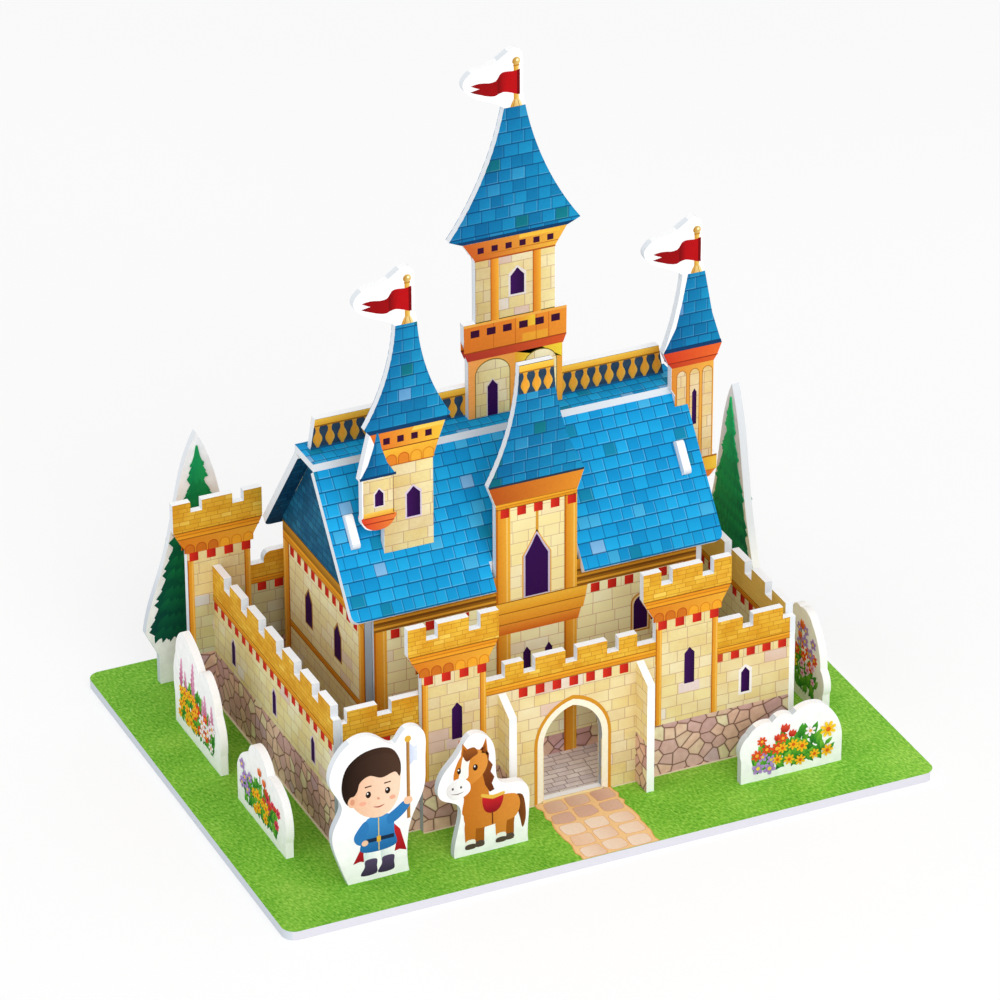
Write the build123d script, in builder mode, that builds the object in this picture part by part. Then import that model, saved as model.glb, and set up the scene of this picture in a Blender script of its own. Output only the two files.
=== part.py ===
from math import cos, radians, sin, tan
import os

from build123d import *

os.makedirs("parts", exist_ok=True)

# Toy castle of die-cut printed foam boards.
# X runs along the gate front, Y runs to the back and Z is up.
# The origin is the middle of the underside of the base board.
# Heights are measured from the top of the base board.

# Boards and joints
board = 3.0
base_thickness = 3.6
slot_clearance = 0.1
tab_recess = 0.4
tab_length = 10.0
corner_lap = 1.5

# Base board and lawn
base_width = 257.0
base_depth = 195.0
base_corner = 5.0
lawn_front = 40.5
lawn_back = 34.2
lawn_side = 37.7

# Court walls
court_wall_height = 57.4
court_merlon = 11.0
court_gap = 5.55
court_gap_depth = 4.8
court_first_merlon = 2.3
left_curtain_height = 56.0
left_curtain_merlon = 11.6
left_curtain_first = 1.8
curtain_behind_tower = 6.0
right_curtain_height = 58.4
right_curtain_merlon = 12.1
right_curtain_gap = 4.2
right_curtain_first = 10.1

# Round towers, drawn flat
tower_centre = 46.0
tower_body = 24.9
tower_head = 35.2
tower_flare_foot = 64.8
tower_flare_top = 74.0
tower_height = 85.0
tower_merlon = 12.0
tower_gap = 4.5
tower_gap_depth = 5.7

# Gate between the front towers
gate_height = 61.8
gate_gap_depth = 5.3
gate_block = 52.2
gate_merlon = 11.9
gate_gap = 4.6
gate_centre = 0.6
gate_opening = 23.4
gate_sill = 1.1
gate_spring = 24.0
gate_apex = 38.5
gate_tab_centre = 20.0

# Back wall
back_tower_outset = 0.3
back_tower_height = 85.7
back_gap_depth = 4.2
back_curtain_height = 58.0
back_curtain_gap = 5.2
back_gap_count = 9
back_curtain_gap_depth = 4.3
back_merlon_corner = 3.0

# Buttresses beside the gate
buttress_centre = 27.3
buttress_foot = 9.4
buttress_front_height = 45.0
buttress_wall_height = 50.2

# Keep and its roof
side_yard = 20.8
front_yard = 26.5
back_yard = 9.8
roof_pitch = 52.65
ridge_board_width = 17.0
ridge_underside = 121.0
eave_overhang = 3.7
roof_overhang = 6.4
roof_corner = 3.0
hook_share = 0.424
hook_length = 12.6
hook_height = 2.8
hook_corner = 1.5

# Pavilion, cut from the same board as the keep front
pavilion_width = 32.0
pavilion_flare_foot = 108.5
pavilion_eave = 117.0
pavilion_eave_width = 38.0
pavilion_roof_middle = 142.5
pavilion_roof_middle_width = 18.4
pavilion_top = 163.4
pavilion_top_width = 13.4
pavilion_notch_gap = 1.4

# Main tower on the ridge board
main_centre = 9.2
main_setback = 7.4
main_foot_width = 37.2
main_leg_height = 26.5
main_gallery_bottom = 30.8
main_gallery_top = 38.3
main_gallery_width = 40.6
main_shaft_width = 31.2
main_shaft_top = 62.9
main_cornice_width = 41.0
main_cornice_top = 70.4
main_eave = 72.6
main_eave_width = 51.4
main_roof_middle = 103.5
main_roof_middle_width = 18.0
main_top = 120.9
main_top_width = 8.2

# Balustrade behind the main tower
balustrade_height = 11.9
balustrade_inset = 3.4
balustrade_taper = 2.0

# Turret standing in the front slope
left_turret_from_keep = 21.5
left_turret_setback = 10.0
left_turret_width = 19.2
left_turret_sunk = 4.0
left_turret_flare_foot = 129.5
left_turret_cornice = 142.8
left_turret_cornice_width = 29.2
left_turret_eave = 145.2
left_turret_eave_width = 33.2
left_turret_roof_middle = 163.8
left_turret_roof_middle_width = 15.8
left_turret_top = 184.0
left_turret_top_width = 8.2
bartizan_reach = 17.9
bartizan_bottom = 104.4
bartizan_side_foot = 110.3
bartizan_eave = 125.2
bartizan_eave_reach = 18.9
bartizan_roof_top = 142.8

# Turret at the right end of the roof
right_turret_from_edge = 1.8
right_turret_width = 17.0
right_turret_sunk = 4.0
right_turret_leg = 5.0
right_turret_corbel_top = 93.5
right_turret_corbel_foot = 87.5
right_turret_bottom = 84.0
right_turret_corbel_side = 2.0
right_turret_flare_foot = 133.0
right_turret_eave = 139.6
right_turret_eave_width = 23.8
right_turret_roof_middle = 152.5
right_turret_roof_middle_width = 15.4
right_turret_top = 170.0
right_turret_top_width = 8.9

# Flag on each spire, with its white border: shares of its reach and height from the pole's foot
flag_reach = 20.0
flag_height = 22.4
flag_right = 3.2
flag_pole_foot = 0.25
flag_shoulder = 0.85
flag_edge = ((0.04, 1.0), (-0.42, 0.8), (-0.8, 0.73), (-1.0, 0.52), (-0.86, 0.33), (-0.5, 0.16))

# Garden boards
garden_gap = 16.1
tree_height = 103.0
tree_reach = 22.6
tree_foot = 17.4
tree_leg = 6.0
tree_leg_height = 8.0
tree_skirt_height = 12.0
left_tree_from_side = 40.3
left_tree_behind_wall = 16.1
right_tree_from_bush = 11.6
garden_tab = 5.0
lobe_bulge = 1.8
back_bush_height = 42.2
back_bush_length = 44.0
back_bush_from_tree = 26.4
low_bush_height = 32.0
low_bush_length = 45.0
low_bush_from_back_bush = 16.5
right_bush_height = 38.3
right_bush_length = 44.0
right_bush_from_front = 49.8
front_bush_height = 29.2
front_bush_length = 41.0
front_bush_from_side = 28.3
front_bush_setback = 19.0

# Tops of the flower boards: shares of the board's length and height
back_lobes = ((0.0, 0.2), (0.08, 0.55), (0.28, 0.84), (0.42, 0.76), (0.8, 1.0), (0.96, 0.72), (1.0, 0.28))
low_lobes = ((0.0, 0.2), (0.05, 0.66), (0.35, 0.8), (0.58, 1.0), (0.75, 0.8), (1.0, 0.46))
right_lobes = ((0.0, 0.27), (0.05, 0.52), (0.21, 0.93), (0.43, 1.0), (0.58, 0.9), (0.84, 0.6), (1.0, 0.24))
front_lobes = ((0.0, 0.34), (0.07, 0.68), (0.3, 0.8), (0.5, 0.84), (0.8, 0.9), (1.0, 0.4))

# Small figure and horse: shares of half the card's width and of its height, from the right foot round
toy_setback = 20.6
figure_from_side = 43.7
figure_foot = 23.6
figure_width = 37.0
figure_height = 59.8
figure_edge = (
    (0.6, 0.18), (0.72, 0.38), (0.95, 0.54), (1.0, 0.78), (0.88, 0.97), (0.58, 0.98), (0.36, 0.9),
    (0.0, 0.97), (-0.5, 0.98), (-0.88, 0.86), (-0.96, 0.7), (-0.74, 0.54), (-0.92, 0.4), (-0.86, 0.2))
horse_from_side = 87.5
horse_foot = 29.0
horse_width = 34.6
horse_height = 50.4
horse_edge = (
    (0.86, 0.3), (0.72, 0.5), (0.24, 0.54), (0.1, 0.76), (-0.16, 0.97), (-0.42, 0.99),
    (-0.72, 0.86), (-1.1, 0.7), (-1.14, 0.52), (-0.76, 0.44), (-0.74, 0.24))

# Tab places: shares of the board from its middle, or from the ends of a flower board
court_tab_share = 0.3
keep_tab_share = 0.6
gable_tab_share = 0.28
main_tab_share = 0.3
balustrade_tab_share = 0.66
bush_tab_share = 0.2


# Places worked out from the sizes above
base_front = -base_depth / 2
base_side = base_width / 2
front_face = lawn_front + base_front
court_half = base_side - lawn_side - board
front_wall_back = front_face + board
curtain_back = front_wall_back + board
back_face = -base_front - lawn_back
back_wall_front = back_face - board
keep_half = court_half - side_yard
gable_outside = keep_half
gable_inside = keep_half - board
keep_front_face = front_wall_back + front_yard
keep_back_face = back_wall_front - back_yard
keep_depth = keep_back_face - keep_front_face
keep_middle = (keep_front_face + keep_back_face) / 2
ridge_front = keep_middle - ridge_board_width / 2
ridge_back = keep_middle + ridge_board_width / 2
ridge_top = ridge_underside + board
roof_half = keep_half + roof_overhang
pitch = radians(roof_pitch)
slope_length = (ridge_front - keep_front_face + eave_overhang) / cos(pitch)
board_drop = board / cos(pitch)
main_front = ridge_front + main_setback
balustrade_front = main_front + board
left_turret_centre = left_turret_from_keep - keep_half
left_turret_front = keep_front_face + left_turret_setback
right_turret_centre = roof_half + right_turret_from_edge
right_turret_front = ridge_front - board
back_tower_centre = court_half + back_tower_outset
balustrade_foot = 2 * (roof_half - balustrade_inset)
balustrade_rail = balustrade_foot - 2 * balustrade_taper
left_tree_centre = left_tree_from_side - base_side
left_tree_front = back_face + left_tree_behind_wall
back_bush_start = left_tree_front - back_bush_from_tree - back_bush_length
low_bush_start = back_bush_start - low_bush_from_back_bush - low_bush_length
right_bush_start = base_front + right_bush_from_front
right_tree_centre = right_bush_start + right_bush_length + right_tree_from_bush + tree_reach
front_bush_left = base_side - front_bush_from_side - front_bush_length
figure_centre = figure_from_side - base_side
horse_centre = horse_from_side - base_side
garden_left = -(court_half + board + garden_gap + board)
garden_right = court_half + board + garden_gap
tab_depth = base_thickness - tab_recess
ridge_tab_depth = board - tab_recess


def slope_height(y):
    """Height of the outer face of the front roof slope at a place along Y."""
    return ridge_underside - (ridge_front - y) * tan(pitch)


def seen_from_front(front):
    """Plane of a board across X, with heights along its own second axis."""
    return Plane(origin=(0, front, base_thickness), x_dir=(1, 0, 0), z_dir=(0, -1, 0))


def seen_from_side(left):
    """Plane of a board along Y, with heights along its own second axis."""
    return Plane(origin=(left, 0, base_thickness), x_dir=(0, 1, 0), z_dir=(1, 0, 0))


def save(piece, name):
    """Name a finished sub-part and write it."""
    piece.part.label = name
    export_step(piece.part, f"parts/{name}.step")


def block(left, right, bottom, top, mode=Mode.ADD):
    """Rectangle between two sides and two heights."""
    with Locations((left, bottom)):
        Rectangle(right - left, top - bottom, align=(Align.MIN, Align.MIN), mode=mode)


def tabs(centres, length, depth=tab_depth, bottom=0.0):
    """Tabs that reach down from the bottom edge of a board."""
    with Locations(*[(centre, bottom) for centre in centres]):
        Rectangle(length, depth, align=(Align.CENTER, Align.MAX))


def cut_gaps(starts, width, depth, top):
    """Gaps between merlons, cut down from the top edge."""
    for start in starts:
        block(start, start + width, top - depth, top, mode=Mode.SUBTRACT)


def gap_starts(first, end, merlon, gap):
    """Starts of the gaps after each merlon, from the first merlon to the end."""
    starts = []
    start = first + merlon
    while start < end:
        starts.append(start)
        start += merlon + gap
    return starts


def tower_outline(centre, height, gap_depth):
    """Straight body under a flared head with three merlons."""
    body = tower_body / 2
    head = tower_head / 2
    Polygon(
        (centre - body, 0), (centre + body, 0), (centre + body, tower_flare_foot),
        (centre + head, tower_flare_top), (centre + head, height), (centre - head, height),
        (centre - head, tower_flare_top), (centre - body, tower_flare_foot), align=None)
    gap_from_centre = tower_merlon / 2
    cut_gaps((centre - gap_from_centre - tower_gap, centre + gap_from_centre), tower_gap, gap_depth, height)


def pointed_opening(centre, width, foot, spring, apex):
    """Opening with straight sides and a pointed arch of two arcs."""
    half = width / 2
    rise = apex - spring
    radius = (half**2 + rise**2) / width
    with BuildLine() as outline:
        Polyline((centre - half, spring), (centre - half, foot), (centre + half, foot), (centre + half, spring))
        RadiusArc((centre + half, spring), (centre, apex), -radius)
        RadiusArc((centre, apex), (centre - half, spring), -radius)
    make_face(outline.edges(), mode=Mode.SUBTRACT)


def spire(centre, eave, eave_width, middle, middle_width, top, top_width):
    """Roof with hollow sides between its eave tips and its flat top."""
    with BuildLine() as outline:
        ThreePointArc(
            (centre + eave_width / 2, eave), (centre + middle_width / 2, middle), (centre + top_width / 2, top))
        Line((centre + top_width / 2, top), (centre - top_width / 2, top))
        ThreePointArc(
            (centre - top_width / 2, top), (centre - middle_width / 2, middle), (centre - eave_width / 2, eave))
        Line((centre - eave_width / 2, eave), (centre + eave_width / 2, eave))
    make_face(outline.edges())


def flare(centre, low, low_width, high, high_width):
    """Cornice that widens from a shaft to the eave above it."""
    Polygon(
        (centre - low_width / 2, low), (centre + low_width / 2, low),
        (centre + high_width / 2, high), (centre - high_width / 2, high), align=None)


def flag_card(centre, top, top_width):
    """White card round a ball-topped pole and a swallow-tailed flag."""
    left_foot = (centre - top_width / 2, top)
    right_foot = (centre + top_width / 2, top)
    pole = (centre + flag_right, top + flag_height * flag_pole_foot)
    shoulder = (centre + flag_right, top + flag_height * flag_shoulder)
    border = [(centre + flag_reach * across, top + flag_height * up) for across, up in flag_edge]
    with BuildLine() as outline:
        Polyline(left_foot, right_foot, pole, shoulder)
        Spline(shoulder, *border, left_foot)
    make_face(outline.edges())


def toy_card(centre, foot, width, height, edge):
    """White card with a straight foot and a smooth border round a printed toy."""
    left_foot = (centre - foot / 2, 0)
    right_foot = (centre + foot / 2, 0)
    border = [(centre + width / 2 * across, height * up) for across, up in edge]
    with BuildLine() as outline:
        Line(left_foot, right_foot)
        Spline(right_foot, *border, left_foot)
    make_face(outline.edges())


def tree_outline(centre):
    """Card round a fir tree: hollow sides, a skirt and two legs."""
    side_shares = ((0.0, 1.0), (0.2, 0.9), (0.4, 0.72), (0.66, 0.48), (0.93, 0.3), (1.0, 0.22))
    right = [(centre + tree_reach * wide, tree_height * high) for wide, high in side_shares]
    left = [(2 * centre - x, z) for x, z in reversed(right)]
    inner_leg = tree_foot - tree_leg
    with BuildLine() as outline:
        Spline(*right)
        Polyline(right[-1], (centre + tree_foot, tree_skirt_height), (centre + tree_foot, 0),
                 (centre + inner_leg, 0), (centre + inner_leg, tree_leg_height),
                 (centre - inner_leg, tree_leg_height), (centre - inner_leg, 0),
                 (centre - tree_foot, 0), (centre - tree_foot, tree_skirt_height), left[0])
        Spline(*left)
    make_face(outline.edges())


def bush_outline(start, length, height, lobes, bulge):
    """Card round a clump of flowers: rounded lobes over a straight foot."""
    corners = [(start + length * along, height * high) for along, high in lobes]
    with BuildLine() as outline:
        Line((start + length, 0), (start, 0))
        Line((start, 0), corners[0])
        for first, second in zip(corners, corners[1:]):
            SagittaArc(first, second, bulge)
        Line(corners[-1], (start + length, 0))
    make_face(outline.edges())


# Tab centres of each board that stands in the base
tower_edge = tower_centre + tower_body / 2
curtain_tab_centre = (tower_edge + court_half) / 2
front_tabs = (-tower_centre, -gate_tab_centre, gate_tab_centre, tower_centre, curtain_tab_centre)
left_curtain_start = -court_half
left_curtain_end = curtain_behind_tower - tower_edge
left_curtain_tabs = ((left_curtain_start + left_curtain_end) / 2,)
left_wall_front = curtain_back - corner_lap
right_wall_front = front_wall_back - corner_lap
court_tab_reach = (back_wall_front - left_wall_front) * court_tab_share
court_tab_middle = (back_wall_front + left_wall_front) / 2
court_tabs = (court_tab_middle - court_tab_reach, court_tab_middle + court_tab_reach)
back_tabs = (-back_tower_centre, -back_tower_centre / 2, back_tower_centre / 2, back_tower_centre)
keep_tab_reach = keep_half * keep_tab_share
keep_tabs = (-keep_tab_reach, 0.0, keep_tab_reach)
gable_front = keep_front_face + board - corner_lap
gable_back = keep_back_face - board + corner_lap
gable_tab_reach = keep_depth * gable_tab_share
gable_tabs = (keep_middle - gable_tab_reach, keep_middle + gable_tab_reach)
toy_front = front_face - toy_setback
front_bush_front = front_face - front_bush_setback
tree_tab_reach = tree_foot - tree_leg / 2
left_tree_tabs = (left_tree_centre - tree_tab_reach, left_tree_centre + tree_tab_reach)
right_tree_tabs = (right_tree_centre - tree_tab_reach, right_tree_centre + tree_tab_reach)


def bush_tabs(start, length):
    """Tab centres near the two ends of a flower board."""
    inset = length * bush_tab_share
    return (start + inset, start + length - inset)


# Boards that stand in the base: front or left face, tab centres and tab length
across_boards = (
    (front_face, front_tabs, tab_length),
    (front_wall_back, left_curtain_tabs, tab_length),
    (back_wall_front, back_tabs, tab_length),
    (keep_front_face, keep_tabs, tab_length),
    (keep_back_face - board, keep_tabs, tab_length),
    (left_tree_front, left_tree_tabs, garden_tab),
    (front_bush_front, bush_tabs(front_bush_left, front_bush_length), garden_tab),
    (toy_front, (figure_centre, horse_centre), tab_length))
along_boards = (
    (-court_half - board, court_tabs, tab_length),
    (court_half, court_tabs, tab_length),
    (-gable_outside, gable_tabs, tab_length),
    (gable_inside, gable_tabs, tab_length),
    (-buttress_centre - board / 2, (front_face - buttress_foot / 2,), garden_tab),
    (buttress_centre - board / 2, (front_face - buttress_foot / 2,), garden_tab),
    (garden_left, bush_tabs(low_bush_start, low_bush_length), garden_tab),
    (garden_left, bush_tabs(back_bush_start, back_bush_length), garden_tab),
    (garden_right, bush_tabs(right_bush_start, right_bush_length), garden_tab),
    (garden_right, right_tree_tabs, garden_tab))


# Base board with a slot for every tab
with BuildPart() as base_board:
    with BuildSketch(Plane.XY):
        RectangleRounded(base_width, base_depth, base_corner)
        for face, centres, length in across_boards:
            with Locations(*[(centre, face + board / 2) for centre in centres]):
                Rectangle(length + 2 * slot_clearance, board + 2 * slot_clearance, mode=Mode.SUBTRACT)
        for face, centres, length in along_boards:
            with Locations(*[(face + board / 2, centre) for centre in centres]):
                Rectangle(board + 2 * slot_clearance, length + 2 * slot_clearance, mode=Mode.SUBTRACT)
    extrude(amount=base_thickness)
save(base_board, "base_board")

# Front wall: two towers, the gate between them and the right curtain in one board
with BuildPart() as front_wall:
    with BuildSketch(seen_from_front(front_face)):
        block(-tower_centre, tower_centre, 0, gate_height - gate_gap_depth)
        block(-gate_block / 2, gate_block / 2, 0, gate_height)
        inner_gap = gate_gap / 2
        outer_gap = inner_gap + gate_merlon
        gate_gaps = (-outer_gap - gate_gap, -inner_gap, outer_gap)
        cut_gaps(gate_gaps, gate_gap, gate_gap_depth, gate_height)
        block(tower_centre, court_half, 0, right_curtain_height)
        curtain_start = tower_edge + right_curtain_first - right_curtain_merlon
        curtain_gaps = gap_starts(curtain_start, court_half, right_curtain_merlon, right_curtain_gap)
        cut_gaps(curtain_gaps, right_curtain_gap, court_gap_depth, right_curtain_height)
        for side in (-1, 1):
            tower_outline(side * tower_centre, tower_height, tower_gap_depth)
        pointed_opening(gate_centre, gate_opening, gate_sill, gate_spring, gate_apex)
        tabs(front_tabs, tab_length)
    extrude(amount=-board)
save(front_wall, "front_wall")

# Left curtain, set behind the left tower
with BuildPart() as left_curtain:
    with BuildSketch(seen_from_front(front_wall_back)):
        block(left_curtain_start, left_curtain_end, 0, left_curtain_height)
        curtain_gaps = gap_starts(
            left_curtain_start + left_curtain_first, left_curtain_end - curtain_behind_tower,
            left_curtain_merlon, court_gap)
        cut_gaps((left_curtain_start,), left_curtain_first, court_gap_depth, left_curtain_height)
        cut_gaps(curtain_gaps, court_gap, court_gap_depth, left_curtain_height)
        tabs(left_curtain_tabs, tab_length)
    extrude(amount=-board)
save(left_curtain, "left_curtain")

# Side walls of the court
for name, left, front in (
        ("left_wall", -court_half - board, left_wall_front), ("right_wall", court_half, right_wall_front)):
    with BuildPart() as side_wall:
        with BuildSketch(seen_from_side(left)):
            block(front, back_wall_front, 0, court_wall_height)
            first = front + court_first_merlon
            cut_gaps((front,), court_first_merlon, court_gap_depth, court_wall_height)
            side_gaps = gap_starts(first, back_wall_front, court_merlon, court_gap)
            cut_gaps(side_gaps, court_gap, court_gap_depth, court_wall_height)
            tabs(court_tabs, tab_length)
        extrude(amount=board)
    save(side_wall, name)

# Back wall: a tower at each end and a low curtain with rounded merlons
with BuildPart() as back_wall:
    back_curtain_half = back_tower_centre - tower_body / 2
    back_pitch = (2 * back_curtain_half - back_curtain_gap) / (back_gap_count - 1)
    with BuildSketch(seen_from_front(back_wall_front)):
        block(-back_tower_centre, back_tower_centre, 0, back_curtain_height)
        back_gaps = [back_pitch * step - back_curtain_half for step in range(back_gap_count)]
        cut_gaps(back_gaps, back_curtain_gap, back_curtain_gap_depth, back_curtain_height)
        for side in (-1, 1):
            tower_outline(side * back_tower_centre, back_tower_height, back_gap_depth)
        merlon_corners = vertices().filter_by(
            lambda corner: abs(corner.Y - back_curtain_height) < slot_clearance)
        fillet(merlon_corners, back_merlon_corner)
        tabs(back_tabs, tab_length)
    extrude(amount=-board)
save(back_wall, "back_wall")

# Buttresses on both sides of the gate
for name, side in (("left_buttress", -1), ("right_buttress", 1)):
    with BuildPart() as buttress:
        with BuildSketch(seen_from_side(side * buttress_centre - board / 2)):
            foot = front_face - buttress_foot
            Polygon((foot, 0), (front_face, 0), (front_face, buttress_wall_height),
                    (foot, buttress_front_height), align=None)
            tabs((front_face - buttress_foot / 2,), garden_tab)
        extrude(amount=board)
    save(buttress, name)

# Keep front and pavilion in one board, under the edge of the roof slope
keep_wall_top = slope_height(keep_front_face) - board_drop - slot_clearance
with BuildPart() as keep_front:
    with BuildSketch(seen_from_front(keep_front_face)):
        block(-gable_inside, gable_inside, 0, keep_wall_top)
        block(-pavilion_width / 2, pavilion_width / 2, 0, pavilion_flare_foot)
        flare(0, pavilion_flare_foot, pavilion_width, pavilion_eave, pavilion_eave_width)
        spire(0, pavilion_eave, pavilion_eave_width, pavilion_roof_middle, pavilion_roof_middle_width,
              pavilion_top, pavilion_top_width)
        tabs(keep_tabs, tab_length)
    extrude(amount=-board)
save(keep_front, "keep_front")

# Plain keep back
with BuildPart() as keep_back:
    with BuildSketch(seen_from_front(keep_back_face - board)):
        block(-gable_inside, gable_inside, 0, keep_wall_top)
        tabs(keep_tabs, tab_length)
    extrude(amount=-board)
save(keep_back, "keep_back")

# Gables that carry the roof, with a rounded hook through each slope
hook_middle = slope_length * hook_share
hook_depth = board + hook_corner
hook_out = (hook_height - hook_depth) / 2
for name, left in (("keep_left_gable", -gable_outside), ("keep_right_gable", gable_inside)):
    with BuildPart() as gable:
        with BuildSketch(seen_from_side(left)):
            shoulder = slope_height(gable_front) - board_drop
            top_inset = board_drop / tan(pitch)
            Polygon((gable_front, 0), (gable_back, 0), (gable_back, shoulder),
                    (ridge_back - top_inset, ridge_underside), (ridge_front + top_inset, ridge_underside),
                    (gable_front, shoulder), align=None)
            for edge, turn in ((ridge_front, 1), (ridge_back, -1)):
                hook_y = edge - turn * (hook_middle * cos(pitch) + hook_out * sin(pitch))
                hook_z = ridge_underside - hook_middle * sin(pitch) + hook_out * cos(pitch)
                with Locations(Location((hook_y, hook_z), turn * roof_pitch)):
                    RectangleRounded(hook_length, hook_height + hook_depth, hook_corner)
            tabs(gable_tabs, tab_length)
        extrude(amount=board)
    save(gable, name)

# Roof slopes, cut to stand over the hooks, the pavilion and the turrets
for name, edge, turn in (("roof_front", ridge_front, 1), ("roof_back", ridge_back, -1)):
    slope = Plane(origin=(0, edge, base_thickness + ridge_underside), x_dir=(turn, 0, 0),
                  z_dir=(0, -turn * sin(pitch), cos(pitch)))
    with BuildPart() as roof:
        with BuildSketch(slope):
            with Locations((0, -slope_length / 2)):
                Rectangle(2 * roof_half, slope_length)
            fillet(vertices().group_by(Axis.Y)[0], roof_corner)
            hook_side = keep_half - board / 2
            with Locations((-hook_side, -hook_middle), (hook_side, -hook_middle)):
                Rectangle(board + 2 * slot_clearance, hook_length + 2 * slot_clearance, mode=Mode.SUBTRACT)
        extrude(amount=-board)
        if turn > 0:
            with BuildSketch(Plane.XY):
                with Locations((0, keep_front_face + board + slot_clearance)):
                    Rectangle(pavilion_width + 2 * pavilion_notch_gap, slope_length,
                              align=(Align.CENTER, Align.MAX))
                with Locations((left_turret_centre, left_turret_front + board)):
                    Rectangle(left_turret_width + 2 * slot_clearance, board + slot_clearance,
                              align=(Align.CENTER, Align.MAX))
                with Locations((roof_half, right_turret_front - slot_clearance)):
                    Rectangle(2 * right_turret_leg + 2 * slot_clearance, 2 * board,
                              align=(Align.CENTER, Align.MIN))
            extrude(amount=2 * ridge_top, mode=Mode.SUBTRACT)
    save(roof, name)

# Ridge board with slots for the main tower and the balustrade
main_tab_reach = main_foot_width * main_tab_share
main_tabs = (main_centre - main_tab_reach, main_centre + main_tab_reach)
balustrade_tab_reach = balustrade_foot / 2 * balustrade_tab_share
balustrade_tabs = (-balustrade_tab_reach, balustrade_tab_reach)
with BuildPart() as roof_top:
    with BuildSketch(Plane.XY.offset(base_thickness + ridge_underside)):
        with Locations((0, keep_middle)):
            Rectangle(2 * roof_half, ridge_board_width)
        for centres, front in ((main_tabs, main_front), (balustrade_tabs, balustrade_front)):
            with Locations(*[(centre, front + board / 2) for centre in centres]):
                Rectangle(tab_length + 2 * slot_clearance, board + 2 * slot_clearance, mode=Mode.SUBTRACT)
    extrude(amount=board)
save(roof_top, "roof_top")

# Main tower: arched foot, gallery, shaft, cornice and spire
with BuildPart() as main_tower:
    with BuildSketch(seen_from_front(main_front)):
        block(main_centre - main_foot_width / 2, main_centre + main_foot_width / 2,
              ridge_top, ridge_top + main_leg_height)
        flare(main_centre, ridge_top + main_leg_height, main_foot_width,
              ridge_top + main_gallery_bottom, main_gallery_width)
        block(main_centre - main_gallery_width / 2, main_centre + main_gallery_width / 2,
              ridge_top + main_gallery_bottom, ridge_top + main_gallery_top)
        block(main_centre - main_shaft_width / 2, main_centre + main_shaft_width / 2,
              ridge_top + main_gallery_top, ridge_top + main_shaft_top)
        flare(main_centre, ridge_top + main_shaft_top, main_shaft_width,
              ridge_top + main_cornice_top, main_cornice_width)
        flare(main_centre, ridge_top + main_cornice_top, main_cornice_width,
              ridge_top + main_eave, main_eave_width)
        spire(main_centre, ridge_top + main_eave, main_eave_width, ridge_top + main_roof_middle,
              main_roof_middle_width, ridge_top + main_top, main_top_width)
        flag_card(main_centre, ridge_top + main_top, main_top_width)
        tabs(main_tabs, tab_length, ridge_tab_depth, ridge_top)
    extrude(amount=-board)
save(main_tower, "main_tower")

# Balustrade board
with BuildPart() as balustrade:
    with BuildSketch(seen_from_front(balustrade_front)):
        flare(0, ridge_top, balustrade_foot, ridge_top + balustrade_height, balustrade_rail)
        tabs(balustrade_tabs, tab_length, ridge_tab_depth, ridge_top)
    extrude(amount=-board)
save(balustrade, "balustrade")

# Left turret with a small side turret on a rounded corbel
with BuildPart() as left_turret:
    centre = left_turret_centre
    sunk_foot = slope_height(left_turret_front) - left_turret_sunk
    bartizan_left = centre - bartizan_reach
    with BuildSketch(seen_from_front(left_turret_front)):
        block(centre - left_turret_width / 2, centre + left_turret_width / 2, sunk_foot, left_turret_flare_foot)
        flare(centre, left_turret_flare_foot, left_turret_width, left_turret_cornice, left_turret_cornice_width)
        flare(centre, left_turret_cornice, left_turret_cornice_width, left_turret_eave, left_turret_eave_width)
        spire(centre, left_turret_eave, left_turret_eave_width, left_turret_roof_middle,
              left_turret_roof_middle_width, left_turret_top, left_turret_top_width)
        flag_card(centre, left_turret_top, left_turret_top_width)
        block(bartizan_left, centre, bartizan_side_foot, bartizan_eave)
        Polygon((centre - bartizan_eave_reach, bartizan_eave), (centre, bartizan_eave),
                (centre, bartizan_roof_top), (centre - left_turret_cornice_width / 2, bartizan_roof_top),
                align=None)
        with BuildLine():
            body_edge = centre - left_turret_width / 2
            corbel_middle = (bartizan_left + body_edge) / 2
            ThreePointArc((bartizan_left, bartizan_side_foot), (corbel_middle, bartizan_bottom),
                          (body_edge, bartizan_side_foot))
            Line((body_edge, bartizan_side_foot), (bartizan_left, bartizan_side_foot))
        make_face()
    extrude(amount=-board)
save(left_turret, "left_turret")

# Right turret: its left leg stands in the corner of the slope, the rest passes the roof edge
with BuildPart() as right_turret:
    centre = right_turret_centre
    half = right_turret_width / 2
    leg_foot = slope_height(right_turret_front) - right_turret_sunk
    leg_left = roof_half - right_turret_leg
    outside = roof_half + slot_clearance
    corbel_right = centre + half + right_turret_corbel_side
    corbel_left = outside
    with BuildSketch(seen_from_front(right_turret_front)):
        Polygon((leg_left, leg_foot), (outside, leg_foot), (outside, right_turret_corbel_top),
                (centre + half, right_turret_corbel_top), (centre + half, right_turret_flare_foot),
                (centre - half, right_turret_flare_foot),
                (centre - half, ridge_top), (leg_left, ridge_underside), align=None)
        block(corbel_left, corbel_right, right_turret_corbel_foot, right_turret_corbel_top)
        with BuildLine():
            corbel_middle = (corbel_left + corbel_right) / 2
            ThreePointArc((corbel_left, right_turret_corbel_foot), (corbel_middle, right_turret_bottom),
                          (corbel_right, right_turret_corbel_foot))
            Line((corbel_right, right_turret_corbel_foot), (corbel_left, right_turret_corbel_foot))
        make_face()
        flare(centre, right_turret_flare_foot, right_turret_width, right_turret_eave, right_turret_eave_width)
        spire(centre, right_turret_eave, right_turret_eave_width, right_turret_roof_middle,
              right_turret_roof_middle_width, right_turret_top, right_turret_top_width)
        flag_card(centre, right_turret_top, right_turret_top_width)
    extrude(amount=-board)
save(right_turret, "right_turret")

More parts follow.
